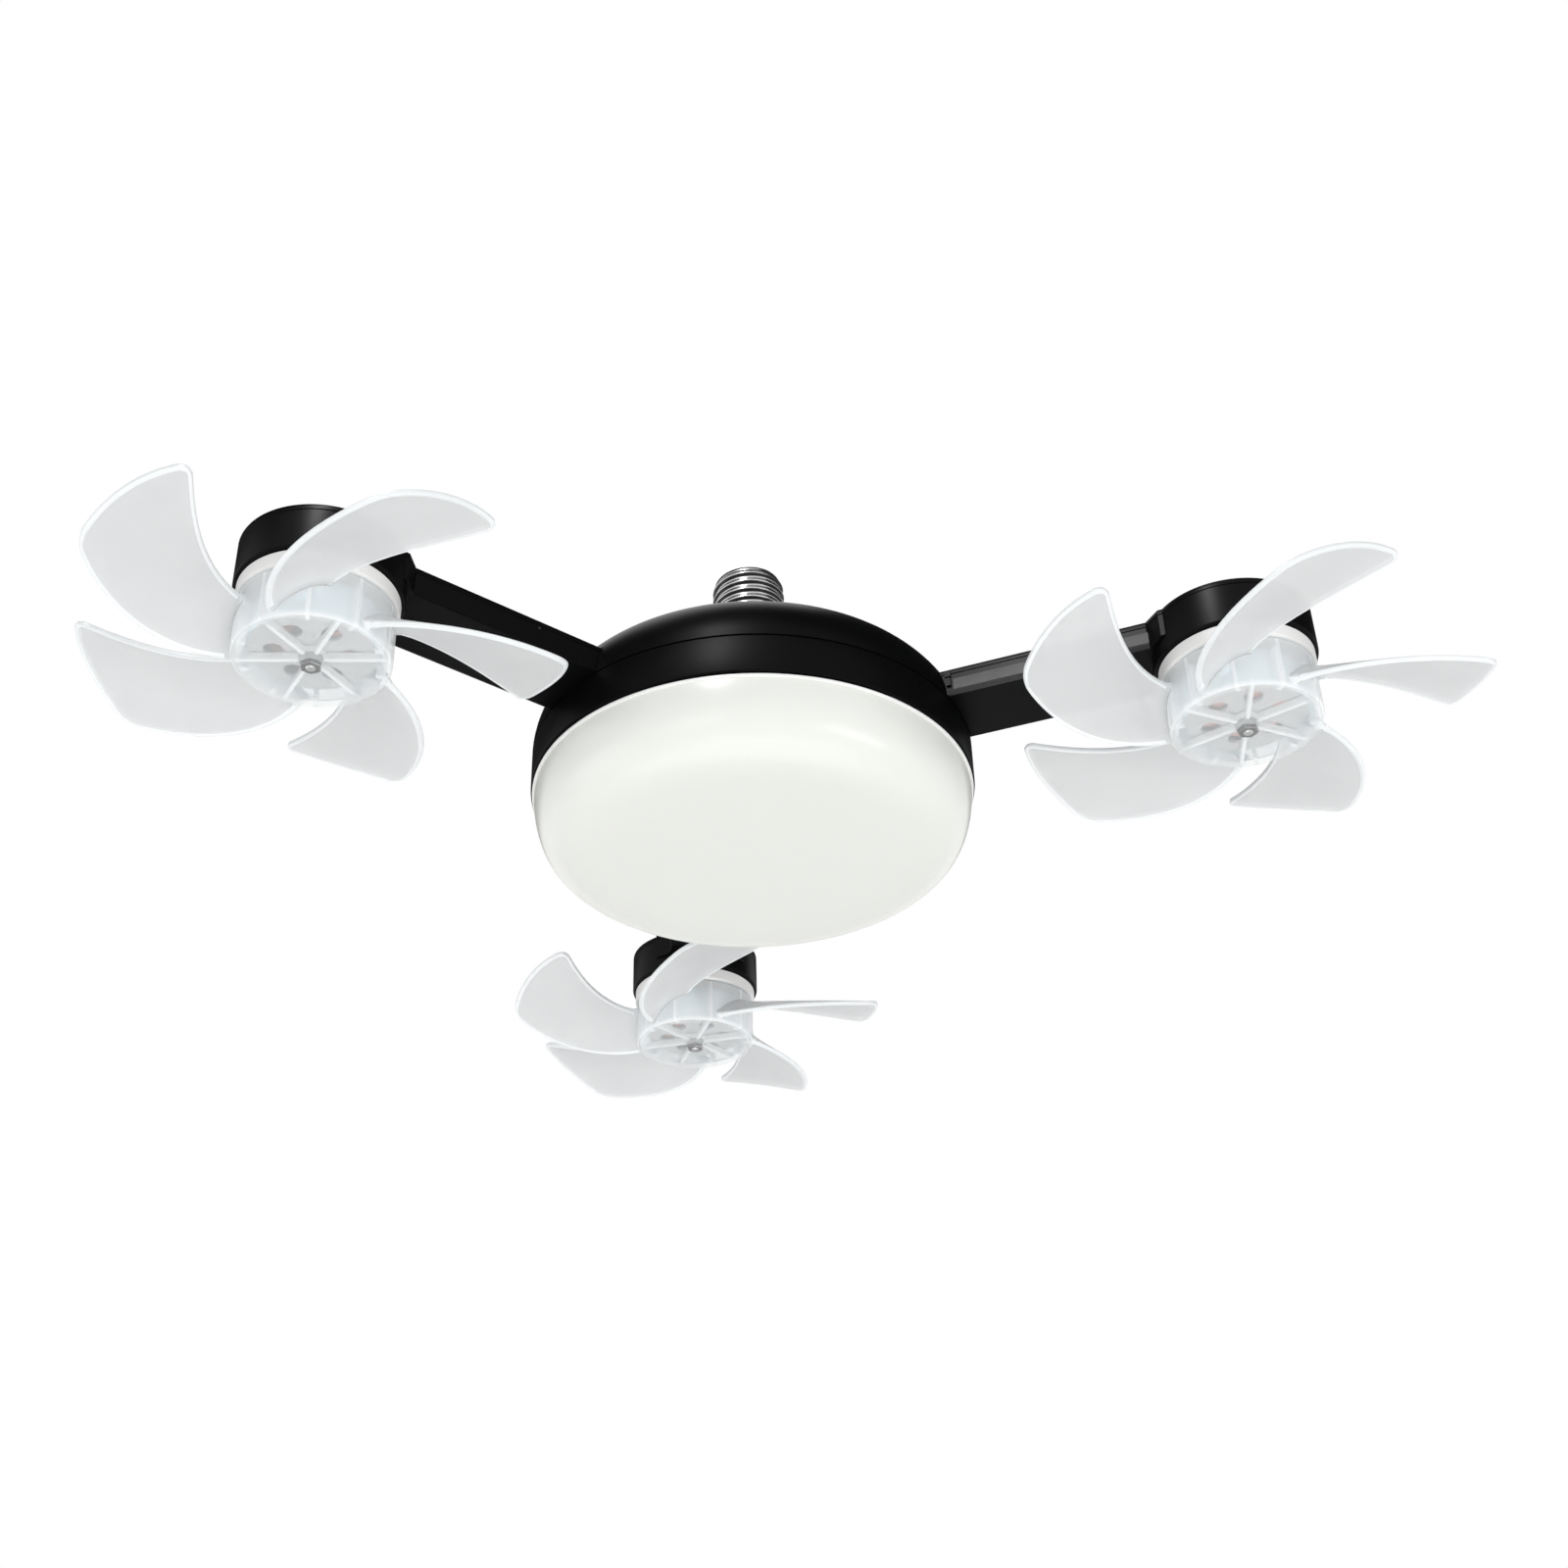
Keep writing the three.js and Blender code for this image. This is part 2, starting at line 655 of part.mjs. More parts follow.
const armHalf = armWidth / 2;
const armFloorZ = armBottomZ + armWall;
const cupFloorTopZ = cupBottomZ + cupFloor;
const railSide = -armHalf - railProud;
const railStart = Math.sqrt(housingRadius ** 2 - railSide ** 2) + 2 * fit; // clear of the housing

// The arm seen from above: a bar that flares into the cup, drawn to the cup's axis.
function armPlan(half) {
  const flareEnd = neckStart + neckFlare;
  const grown = half + neckFlare;
  return [
    [armRootDistance, -half],
    [neckStart, -half],
    [flareEnd, -grown],
    [armReach, -grown],
    [armReach, grown],
    [flareEnd, grown],
    [neckStart, half],
    [armRootDistance, half],
  ];
}

function armBase() {
  const outer = join(
    plate(armPlan(armHalf), armBottomZ, wallTopZ),
    rod(cupRadius, cupBottomZ, wallTopZ, round, armReach),
  );
  const railTopZ = armTopZ - railTopDrop;
  const railInner = -armHalf + armWall / 2;
  const railSection = [
    [railInner, armBottomZ],
    [railSide + railLean, armBottomZ],
    [railSide, armBottomZ + railCrease],
    [railSide, railTopZ],
    [railInner, railTopZ],
  ];
  const rail = run(railSection, railStart, neckStart + railProud / 2);
  const channel = block(
    [armRootDistance + armWall, armReach],
    [-armHalf + armWall, armHalf - armWall],
    [armFloorZ, wallTopZ + over],
  );
  const cavity = rod(cupRadius - cupWall, cupFloorTopZ, wallTopZ + over, round, armReach);
  const floorHole = rod(cupOpening, cupBottomZ - over, cupFloorTopZ + over, round, armReach);
  const post = rod(postRadius, armBottomZ, wallTopZ, small, armScrewDistance);
  const postHole = rod(armScrewShank + fit, armBottomZ - over, wallTopZ + over, tiny, armScrewDistance);
  const screwHoles = [-1, 1].map((side) =>
    rod(
      collarScrewShank + fit,
      cupBottomZ - over,
      cupFloorTopZ + over,
      tiny,
      armReach,
      side * collarScrewCircle,
    ),
  );
  const floorPlate = rod(cupRadius - cupWall / 2, cupBottomZ, cupFloorTopZ, round, armReach);
  const hollow = cut(join(outer, rail), channel, cavity);
  return cut(join(hollow, floorPlate, post), floorHole, postHole, ...screwHoles);
}

function armCover() {
  const bottomZ = armTopZ - coverThickness;
  const lid = join(
    plate(armPlan(armHalf), bottomZ, armTopZ),
    rod(cupRadius, bottomZ, armTopZ, round, armReach),
  );
  const tabSide = armHalf - armWall - fit;
  const tabMiddle = (armRootDistance + neckStart) / 2;
  const tabs = [-1, 1].map((side) =>
    block(
      [tabMiddle - coverTabLength / 2, tabMiddle + coverTabLength / 2],
      side < 0 ? [-tabSide, -tabSide + coverTabWall] : [tabSide - coverTabWall, tabSide],
      [bottomZ - coverTabDrop, bottomZ + coverThickness / 2],
    ),
  );
  const screwHole = rod(armScrewShank + fit, bottomZ - over, armTopZ + over, tiny, armScrewDistance);
  return cut(join(lid, ...tabs), screwHole);
}

// Leads: one sleeved cable along the channel's floor, up over the cup's floor plate
const leadRadius = 1.3;
const leadEnd = 8; // distance of the lead's end from the fan's axis
const leadSide = 7; // the lead runs beside the screw post
const leadSteps = 8;

function armLead() {
  const lowZ = armFloorZ + fit + leadRadius;
  const route = new THREE.CatmullRomCurve3([
    new THREE.Vector3(armRootDistance + armWall + fit, leadSide, lowZ),
    new THREE.Vector3(armScrewDistance + leadSide, leadSide, lowZ),
    new THREE.Vector3(neckStart - leadSide, leadSide / 2, lowZ),
    new THREE.Vector3(armReach - leadEnd, 0, lowZ),
  ]);
  const section = new THREE.Shape();
  section.absarc(0, 0, leadRadius, 0, 2 * Math.PI);
  return new THREE.ExtrudeGeometry(section, {
    steps: leadSteps,
    curveSegments: tiny / 2,
    extrudePath: route,
    bevelEnabled: false,
  });
}

// Motor: collar with its bearing tube, stator, windings, bearing, shaft, rotor can and magnet ring
const collarPlate = 2;
const collarSkirt = 1.6;
const bearingRadius = 3;
const bearingTubeWall = 1.7;
const leadHoleRadius = 2;
const leadHoleCircle = 9;
const canRadius = 19.5;
const canWall = 1.2;
const canDrop = 1.4; // hub's top to the can's rim
const ribHeight = 2.2; // impeller's floor ribs, below the can
const ventRadius = 2.6;
const ventCircle = 11.5;
const canBossRadius = 3.6; // boss round the shaft inside the can
const canBossHeight = 1.4;
const magnetThickness = 1.7;
const magnetInset = 1; // magnet's end to the can's rim
const airGap = 0.8; // magnet to stator
const statorHeight = 7;
const statorHub = 2;
const toothWidth = 3;
const toothTip = 1.4;
const slotCount = 6;
const slotGap = 2.4; // gap between two tooth tips
const coilThickness = 1.6;
const coilOverhang = 1.1; // coil past the core's face
const coilGap = 0.8; // coil to the tooth's tip

const tubeRadius = bearingRadius + fit + bearingTubeWall;
const collarPlateZ = collarTopZ - collarPlate;
const hubFloorZ = hubBottomZ + hubWall;
const canBottomZ = hubFloorZ + ribHeight + fit;
const canPlateZ = canBottomZ + canWall;
const canTopZ = hubTopZ - canDrop;
const canInner = canRadius - canWall;
const magnetOuter = canInner - fit;
const magnetInner = magnetOuter - magnetThickness;
const magnetTopZ = canTopZ - magnetInset;
const statorRadius = magnetInner - airGap;
const tubeEndZ = canPlateZ + canBossHeight + runGap;
const statorMiddleZ = (magnetTopZ + canPlateZ + magnetInset) / 2;
const statorTopZ = statorMiddleZ + statorHeight / 2;
const statorBottomZ = statorMiddleZ - statorHeight / 2;

function motorCollar() {
  const outline = [
    [bearingRadius + fit, collarTopZ],
    [collarRadius, collarTopZ],
    [collarRadius, collarBottomZ],
    [collarRadius - collarSkirt, collarBottomZ],
    [collarRadius - collarSkirt, collarPlateZ],
    [tubeRadius, collarPlateZ],
    [tubeRadius, tubeEndZ],
    [bearingRadius + fit, tubeEndZ],
  ];
  const leadHole = rod(leadHoleRadius, collarPlateZ - over, collarTopZ + over, tiny, -leadHoleCircle);
  const screwHoles = [-1, 1].map((side) =>
    rod(collarScrewShank + fit, collarPlateZ - over, collarTopZ + over, tiny, 0, side * collarScrewCircle),
  );
  return cut(spin(outline, round), leadHole, ...screwHoles);
}

function bearing() {
  return tube(shaftRadius + fit, bearingRadius, tubeEndZ, collarTopZ, small);
}

function statorCore() {
  const hubOuter = tubeRadius + fit + statorHub;
  const hub = tube(tubeRadius + fit, hubOuter, statorBottomZ, statorTopZ, small);
  const rim = tube(statorRadius - toothTip, statorRadius, statorBottomZ, statorTopZ, motorFacets);
  const tooth = block(
    [hubOuter - statorHub / 2, statorRadius - toothTip / 2],
    [-toothWidth / 2, toothWidth / 2],
    [statorBottomZ, statorTopZ],
  );
  const slot = block(
    [statorRadius - toothTip - over, statorRadius + over],
    [-slotGap / 2, slotGap / 2],
    [statorBottomZ - over, statorTopZ + over],
  );
  const step = 360 / slotCount;
  const teeth = Array.from({ length: slotCount }, (_, i) => turned(tooth, i * step));
  const slots = Array.from({ length: slotCount }, (_, i) => turned(slot, (i + 1 / 2) * step));
  return cut(join(hub, rim, ...teeth), ...slots);
}

function windings() {
  const innerRadius = tubeRadius + fit + statorHub + fit;
  const outerRadius = statorRadius - toothTip - coilGap;
  const holeHalf = toothWidth / 2 + fit;
  const topZ = statorTopZ + fit;
  const bottomZ = statorBottomZ - fit;
  const coil = block(
    [innerRadius + coilGap, outerRadius],
    [-holeHalf - coilThickness, holeHalf + coilThickness],
    [bottomZ - coilOverhang, topZ + coilOverhang],
  );
  const toothHole = block([0, outerRadius + over], [-holeHalf, holeHalf], [bottomZ, topZ]);
  const link = tube(innerRadius, innerRadius + coilGap + coilThickness, topZ, topZ + coilOverhang, small);
  const step = 360 / slotCount;
  const coils = Array.from({ length: slotCount }, (_, i) => turned(coil, i * step));
  const holes = Array.from({ length: slotCount }, (_, i) => turned(toothHole, i * step));
  const bore = rod(innerRadius, bottomZ - 2 * over, topZ + 2 * over, small);
  return cut(join(link, cut(join(...coils), ...holes)), bore);
}

function rotorCan() {
  const bossTopZ = canPlateZ + canBossHeight;
  const outline = [
    [shaftRadius + fit, canBottomZ],
    [canRadius, canBottomZ],
    [canRadius, canTopZ],
    [canInner, canTopZ],
    [canInner, canPlateZ],
    [canBossRadius, canPlateZ],
    [canBossRadius, bossTopZ],
    [shaftRadius + fit, bossTopZ],
  ];
  const vent = rod(ventRadius, canBottomZ - over, canPlateZ + over, tiny, ventCircle);
  const step = 360 / slotCount;
  const vents = Array.from({ length: slotCount }, (_, i) => turned(vent, (i + 1 / 2) * step));
  return cut(spin(outline, motorFacets), ...vents);
}

function magnetRing() {
  return tube(magnetInner, magnetOuter, canPlateZ + magnetInset, magnetTopZ, motorFacets);
}

// Impeller: a frosted cup with ribs inside it and swept blades round it
const hubCorner = 2.5;
const floorRibCount = 6;
const wallRibCount = 10;
const ribAngle = 22; // degrees from a blade's leading root to the first rib of each kind
const ribThickness = 1.2;
const ribSink = 0.4; // how far a rib goes into the hub's wall and floor
const wallRibDrop = 2.5; // hub's top to the wall ribs' upper ends
const hubBossRadius = 4.2;
const bladeSink = 1; // how far a blade's root goes into the hub's wall
const leadRootDrop = 5.2; // hub's top to the leading edge's root
const trailRootDrop = 15.5; // hub's top to the trailing edge's root
const leadDip = 4.1;
const leadRise = 8;
const trailDip = 8.7;
const trailRise = 11.4;
const bladeCamber = 2.4;
const tipBulge = 1.4;
const tipCorner = 5;
const tipCornerShare = 0.125; // corner's part of the tip's width
const leadSweepAngle = 48; // degrees, forward along the leading edge
const leadBendAngle = 14.2;
const trailLagAngle = 41.5; // degrees from the leading edge's root to the trailing edge's
const trailSweepAngle = 47.9;
const trailBendAngle = 3.2;
const chordShares = [0, 0.08, 0.35, 0.65, 0.92, 1];
const spanSteps = 5;

// The blade's reach from the fan's axis. Across runs from the leading edge to the trailing edge.
function bladeReach(across) {
  return mix(leadReach, trailReach, across) + tipBulge * 4 * across * (1 - across);
}

// Radius where the blade ends, with its two corners rounded.
function bladeEnd(across) {
  const edge = Math.max(1 - Math.min(across, 1 - across) / tipCornerShare, 0);
  return bladeReach(across) - tipCorner * (1 - Math.sqrt(1 - edge * edge));
}

// A point of the blade's middle surface.
function bladePoint(radius, across) {
  const out = (radius - hubRadius) / (bladeReach(across) - hubRadius);
  const lead = leadSweepAngle * out - leadBendAngle * out * out;
  const trail = -trailLagAngle + trailSweepAngle * out - trailBendAngle * out * out;
  const leadZ = -leadRootDrop - leadDip * out + leadRise * out * out;
  const trailZ = -trailRootDrop - trailDip * out + trailRise * out * out;
  const angle = radians(mix(lead, trail, across));
  const z = hubTopZ + mix(leadZ, trailZ, across) + bladeCamber * 4 * across * (1 - across);
  return new THREE.Vector3(radius * Math.cos(angle), radius * Math.sin(angle), z);
}

const slopeStep = 0.5; // step along the radius used to find the blade's slope
const slopeShare = 0.01; // and the step across it

function blade() {
  const rings = [];
  for (let i = 0; i <= spanSteps; i++) {
    const top = [];
    const bottom = [];
    for (const across of chordShares) {
      const radius = mix(hubRadius - bladeSink, bladeEnd(across), i / spanSteps);
      const here = bladePoint(radius, across);
      const outward = bladePoint(radius + slopeStep, across).sub(bladePoint(radius - slopeStep, across));
      const backward = bladePoint(radius, across + slopeShare).sub(bladePoint(radius, across - slopeShare));
      const normal = outward.cross(backward).normalize();
      normal.multiplyScalar((normal.z < 0 ? -1 : 1) * (bladeThickness / 2));
      top.push(here.clone().add(normal));
      bottom.push(here.clone().sub(normal));
    }
    rings.push([...top, ...bottom.reverse()]);
  }
  return skin(rings, false);
}

function impeller() {
  const inner = hubRadius - hubWall;
  const cornerRise = hubCorner * (1 - Math.SQRT1_2);
  const outline = [
    [shaftRadius + fit, hubBottomZ],
    [hubRadius - hubCorner, hubBottomZ],
    [hubRadius - cornerRise, hubBottomZ + cornerRise],
    [hubRadius, hubBottomZ + hubCorner],
    [hubRadius, hubTopZ],
    [inner, hubTopZ],
    [inner, hubFloorZ],
    [hubBossRadius, hubFloorZ],
    [hubBossRadius, hubFloorZ + ribHeight],
    [shaftRadius + fit, hubFloorZ + ribHeight],
  ];
  const sideSpan = [-ribThickness / 2, ribThickness / 2];
  const floorRib = block(
    [hubBossRadius - ribThickness, inner + ribSink],
    sideSpan,
    [hubFloorZ - ribSink, hubFloorZ + ribHeight],
  );
  const wallRib = block(
    [canRadius + runGap, inner + ribSink],
    sideSpan,
    [hubFloorZ - ribSink, hubTopZ - wallRibDrop],
  );
  const ring = (rib, count) =>
    Array.from({ length: count }, (_, i) => turned(rib, ribAngle + (i * 360) / count));
  const ribs = [...ring(floorRib, floorRibCount), ...ring(wallRib, wallRibCount)];
  const bladeStep = 360 / bladeCount;
  const blades = Array.from({ length: bladeCount }, (_, i) => turned(blade(), i * bladeStep));
  return join(spin(outline, round), ...ribs, ...blades);
}

// Shaft and the nut that holds the impeller on it
const nutSides = 6;
const nutCorner = 3.4;
const nutThickness = 1.1;
const shaftTopDrop = 0.6; // collar's top to the shaft's upper end
const shaftProud = 0.4; // shaft past the nut

const nutTopZ = hubBottomZ - fit;
const nutBottomZ = nutTopZ - nutThickness;

function motorShaft() {
  return rod(shaftRadius, nutBottomZ - shaftProud, collarTopZ - shaftTopDrop, small);
}

function hubNut() {
  return cut(
    rod(nutCorner, nutBottomZ, nutTopZ, nutSides),
    rod(shaftRadius + fit, nutBottomZ - over, nutTopZ + over, small),
  );
}

// Lamp: everything on the middle axis
const lamp = new THREE.Group();
lamp.add(
  piece("cap_contact", capContact(), "nickel"),
  piece("cap_insulator", capInsulator(), "glassBlack"),
  piece("cap_shell", capShell(), "nickel"),
  piece("neck", neck(), "blackPlastic"),
  piece("neck_lock_ring", lockRing(), "blackPlastic"),
  piece("top_housing", topHousing(), "blackPlastic"),
  piece("lamp_ring", lampRing(), "blackPlastic"),
  piece("heat_plate", heatPlate(), "aluminium"),
  piece("led_board", ledBoard(), "circuitWhite"),
  piece("diffuser", diffuser(), "opalPlastic"),
  piece("driver_board", driverBoard(), "circuitGreen"),
  piece("receiver_board", receiverBoard(), "circuitGreen"),
);
bodyScrewAngles.forEach((degrees, i) => {
  const headZ = heatPlateBottomZ - fit;
  const shape = screw(bodyScrewShank, bodyScrewHead, bodyScrewHeadDepth, headZ, bodyScrewTipZ);
  const bodyScrew = piece("body_screw_" + (i + 1), shape, "steel");
  bodyScrew.position.set(
    bodyScrewCircle * Math.cos(radians(degrees)),
    bodyScrewCircle * Math.sin(radians(degrees)),
    0,
  );
  lamp.add(bodyScrew);
});

// One arm with its motor and impeller, built along x and turned into place
function fanArm(side) {
  const arm = new THREE.Group();
  const headZ = armBottomZ - fit;
  const armScrewShape = screw(armScrewShank, armScrewHead, armScrewHeadDepth, headZ, armScrewTipZ);
  const armScrew = piece("arm_screw_" + side, armScrewShape, "steel");
  armScrew.position.x = armScrewDistance;
  arm.add(
    piece("arm_base_" + side, armBase(), "blackPlastic"),
    piece("arm_cover_" + side, armCover(), "blackPlastic"),
    piece("arm_lead_" + side, armLead(), "wireCover"),
    armScrew,
  );
  const motor = new THREE.Group();
  motor.position.x = armReach;
  motor.add(
    piece("motor_collar_" + side, motorCollar(), "whitePlastic"),
    piece("shaft_bearing_" + side, bearing(), "brass"),
    piece("stator_core_" + side, statorCore(), "steel"),
    piece("motor_windings_" + side, windings(), "copper"),
  );
  const collarScrewTipZ = cupFloorTopZ + collarScrewGrip;
  [-1, 1].forEach((way) => {
    const shape = screw(
      collarScrewShank,
      collarScrewHead,
      collarScrewHeadDepth,
      collarPlateZ - fit,
      collarScrewTipZ,
    );
    const name = (way < 0 ? "collar_screw_a_" : "collar_screw_b_") + side;
    const collarScrew = piece(name, shape, "steel");
    collarScrew.position.y = way * collarScrewCircle;
    motor.add(collarScrew);
  });
  const fan = new THREE.Group();
  fan.rotation.z = radians(restAngles[side]);
  fan.add(
    piece("impeller_" + side, impeller(), "frostedPlastic"),
    piece("rotor_can_" + side, rotorCan(), "steel"),
    piece("magnet_ring_" + side, magnetRing(), "magnet"),
    piece("motor_shaft_" + side, motorShaft(), "steel"),
    piece("hub_nut_" + side, hubNut(), "nickel"),
  );
  motor.add(fan);
  arm.add(motor);
  arm.rotation.z = radians(armAngles[side]);
  return arm;
}

const fanLight = new THREE.Group();
fanLight.add(lamp, ...Object.keys(armAngles).map(fanArm));
export default fanLight;
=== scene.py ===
import math

import bmesh
import bpy
from mathutils import Matrix, Vector


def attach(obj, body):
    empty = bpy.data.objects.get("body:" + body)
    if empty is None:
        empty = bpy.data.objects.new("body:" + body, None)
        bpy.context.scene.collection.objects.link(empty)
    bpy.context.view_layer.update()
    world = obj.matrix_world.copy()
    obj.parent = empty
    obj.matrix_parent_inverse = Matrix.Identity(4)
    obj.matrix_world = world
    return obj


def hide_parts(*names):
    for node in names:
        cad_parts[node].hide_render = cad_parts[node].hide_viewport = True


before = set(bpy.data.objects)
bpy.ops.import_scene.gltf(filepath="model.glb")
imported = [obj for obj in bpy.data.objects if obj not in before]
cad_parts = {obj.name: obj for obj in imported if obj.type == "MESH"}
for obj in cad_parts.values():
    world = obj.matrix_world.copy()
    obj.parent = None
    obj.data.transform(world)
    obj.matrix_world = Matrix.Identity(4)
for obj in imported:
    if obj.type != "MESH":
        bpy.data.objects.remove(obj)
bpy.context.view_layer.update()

# The view
# The camera hangs below and in front of the light and looks up at it, as it did for the photograph.
azimuth = math.radians(-8.19)
elevation = math.radians(-32.34)
roll = math.radians(-0.81)
aim = Vector((0, 0, -0.062))
distance = 0.70436
aim_across = 0.0093  # where the aimed point falls, over the distance
aim_up = 0.04212

back = Vector((
    math.sin(azimuth) * math.cos(elevation),
    -math.cos(azimuth) * math.cos(elevation),
    math.sin(elevation),
))
level = Vector((math.cos(azimuth), math.sin(azimuth), 0))
tilt = Matrix.Rotation(roll, 3, back)
right = tilt @ level
up = tilt @ back.cross(level)
camera = bpy.data.objects.new("camera", bpy.data.cameras.new("camera"))
bpy.context.scene.collection.objects.link(camera)
bpy.context.scene.camera = camera
camera.data.lens = 45.19
camera.data.shift_x = 0.0328
camera.data.shift_y = 0.0059
camera.data.clip_start = 0.01
stand = aim + distance * (back - aim_across * right - aim_up * up)
camera.matrix_world = Matrix.Translation(stand) @ Matrix((right, up, back)).transposed().to_4x4()

# The room
# A white studio. The camera, gloss and clear pieces see plain white, and soft boxes below, beside
# and above light the object. A pale floor lies far below it.
scene = bpy.context.scene
scene.view_settings.view_transform = "Standard"
world = bpy.data.worlds.new("studio")
scene.world = world
world.use_nodes = True
sky = world.node_tree.nodes
sky.clear()
sky_links = world.node_tree.links
fill = sky.new("ShaderNodeBackground")
fill.inputs["Color"].default_value = (0.98, 0.99, 1, 1)
fill.inputs["Strength"].default_value = 0.92
white = sky.new("ShaderNodeBackground")
white.inputs["Color"].default_value = (1, 1, 1, 1)
white.inputs["Strength"].default_value = 1
ray = sky.new("ShaderNodeLightPath")
choice = sky.new("ShaderNodeMixShader")
world_out = sky.new("ShaderNodeOutputWorld")
seen = ray.outputs["Is Camera Ray"]
for kind in ("Is Glossy Ray", "Is Transmission Ray"):
    either = sky.new("ShaderNodeMath")
    either.operation = "MAXIMUM"
    sky_links.new(seen, either.inputs[0])
    sky_links.new(ray.outputs[kind], either.inputs[1])
    seen = either.outputs[0]
sky_links.new(seen, choice.inputs[0])
sky_links.new(fill.outputs[0], choice.inputs[1])
sky_links.new(white.outputs[0], choice.inputs[2])
sky_links.new(choice.outputs[0], world_out.inputs[0])


def soft_box(name, turn, rise, reach, width, height, power):
    """A soft box that faces the light, placed by its bearing and its height angle in degrees."""
    bearing, climb = math.radians(turn), math.radians(rise)
    outward = Vector((
        math.cos(climb) * math.cos(bearing),
        math.cos(climb) * math.sin(bearing),
        math.sin(climb),
    ))
    lamp = bpy.data.objects.new(name, bpy.data.lights.new(name, "AREA"))
    bpy.context.scene.collection.objects.link(lamp)
    lamp.data.shape = "RECTANGLE"
    lamp.data.size = width
    lamp.data.size_y = height
    lamp.data.energy = power
    lamp.location = aim + reach * outward
    lamp.rotation_mode = "QUATERNION"
    lamp.rotation_quaternion = outward.to_track_quat("Z", "Y")
    lamp.visible_camera = False
    return lamp


soft_box("left_front_box", turn=-126, rise=-14, reach=1.5, width=0.8, height=0.35, power=1.4)
soft_box("right_front_box", turn=-46, rise=-21, reach=1.5, width=0.8, height=0.3, power=3.1)
# A narrow lamp close by adds only gloss: the streaks on the black plastic and on the cap.
near_strip = soft_box(
    "near_strip", turn=-115, rise=34, reach=0.55, width=0.08, height=0.26, power=2.2
)
near_strip.visible_diffuse = False
soft_box("left_box", turn=178, rise=-20, reach=1.5, width=0.8, height=0.8, power=2)
soft_box("low_box", turn=-80, rise=-84, reach=1.1, width=1.2, height=1.2, power=5)
soft_box("top_box", turn=100, rise=62, reach=1.5, width=0.9, height=0.9, power=5)


def rectangle(start, end, low, high):
    """The corners of a rectangle, in order round it."""
    return [(start, low), (end, low), (end, high), (start, high)]


def sheet(name, corners, colour, roughness=1):
    """A flat sheet of the studio, with one plain paint on it."""
    mesh = bpy.data.meshes.new(name)
    mesh.from_pydata(corners, [], [(0, 1, 2, 3)])
    paint = bpy.data.materials.new(name + "_paint")
    paint.use_nodes = True
    shader = paint.node_tree.nodes["Principled BSDF"]
    shader.inputs["Base Color"].default_value = (colour, colour, colour, 1)
    shader.inputs["Roughness"].default_value = roughness
    mesh.materials.append(paint)
    thing = bpy.data.objects.new(name, mesh)
    bpy.context.scene.collection.objects.link(thing)
    return thing


floor_drop = 1.25
floor_half = 6
floor_plan = rectangle(-floor_half, floor_half, -floor_half, floor_half)
sheet("floor", [(x, y, -floor_drop) for x, y in floor_plan], colour=0.9, roughness=0.8)

# A black cloth overhead, out of the camera's sight, keeps glare off the dome and shades the thread.
cloth_height = 1.75
cloth_half = 2.8
cloth_front = -1.4
cloth_back = 4.6
cloth_plan = rectangle(cloth_front, cloth_back, -cloth_half, cloth_half)
cloth = sheet("overhead_cloth", [(x, y, cloth_height) for y, x in cloth_plan], colour=0.02)
cloth.visible_camera = False
cloth.visible_transmission = False

# A dark card on the right, out of the picture, that only reflections see.
card_reach = 1.35
card_low = 0.2
card_high = 1.3
card_front = -1
card_back = 0.6
card_plan = rectangle(card_front, card_back, card_low, card_high)
card = sheet("dark_card", [(card_reach, y, z) for y, z in card_plan], colour=0.02)
card.visible_camera = False
card.visible_diffuse = False
card.visible_transmission = False
card.visible_shadow = False


# Screw cap
# A thin nickel-plated brass shell with a round thread rolled into it. A black glass ring at its
# end holds the contact, whose flat face is the frame's origin.
metre = 1000  # sizes are in millimetres from here on
contact_radius = 4.9
contact_flat = 3.6
contact_thickness = 1.2
contact_edge = 0.5
contact_bottom = -contact_thickness
rivet_radius = 1.5
rivet_length = 5
insulator_radius = 8.7
insulator_plug = 4.5
insulator_top = -1.5
insulator_bore = rivet_radius + 0.3
insulator_seat = contact_radius + 0.6
insulator_seat_drop = 0.15
insulator_edge = 0.3
insulator_edge_rise = 0.35
cap_shell_top = -4.5
cap_rim = -27
cap_radius = 13.2
cap_wall = 0.5
cap_lip = 9.4
thread_pitch = 3.63
thread_depth = 1.1
thread_turns = 4.5
thread_start = 3
thread_row = 0.25
cap_inner = cap_radius - thread_depth - cap_wall


def part(name, *shells, angle=32):
    """One object from closed shells: points in millimetres, faces, and a material number for all
    the faces or one for each."""
    made = bmesh.new()
    for points, faces, number in shells:
        corners = [made.verts.new((x / metre, y / metre, z / metre)) for x, y, z in points]
        numbers = number if isinstance(number, list) else [number] * len(faces)
        for face, finish in zip(faces, numbers):
            side = made.faces.new([corners[i] for i in face])
            side.material_index = finish
            side.smooth = True
    bmesh.ops.recalc_face_normals(made, faces=made.faces)
    mesh = bpy.data.meshes.new(name)
    made.to_mesh(mesh)
    made.free()
    mesh.set_sharp_from_angle(angle=math.radians(angle))
    piece = bpy.data.objects.new(name, mesh)
    bpy.context.scene.collection.objects.link(piece)
    return piece


def rings(points, count):
    """The numbers of the points, ring by ring."""
    return [list(range(i, i + count)) for i in range(0, len(points), count)]


def bands(rows):
    """The faces between each row of point numbers and the next. A row can repeat one point."""
    faces = []
    for low, high in zip(rows, rows[1:]):
        for i in range(len(low)):
            j = (i + 1) % len(low)
            face = list(dict.fromkeys([low[i], low[j], high[j], high[i]]))
            if len(face) > 2:
                faces.append(face)
    return faces


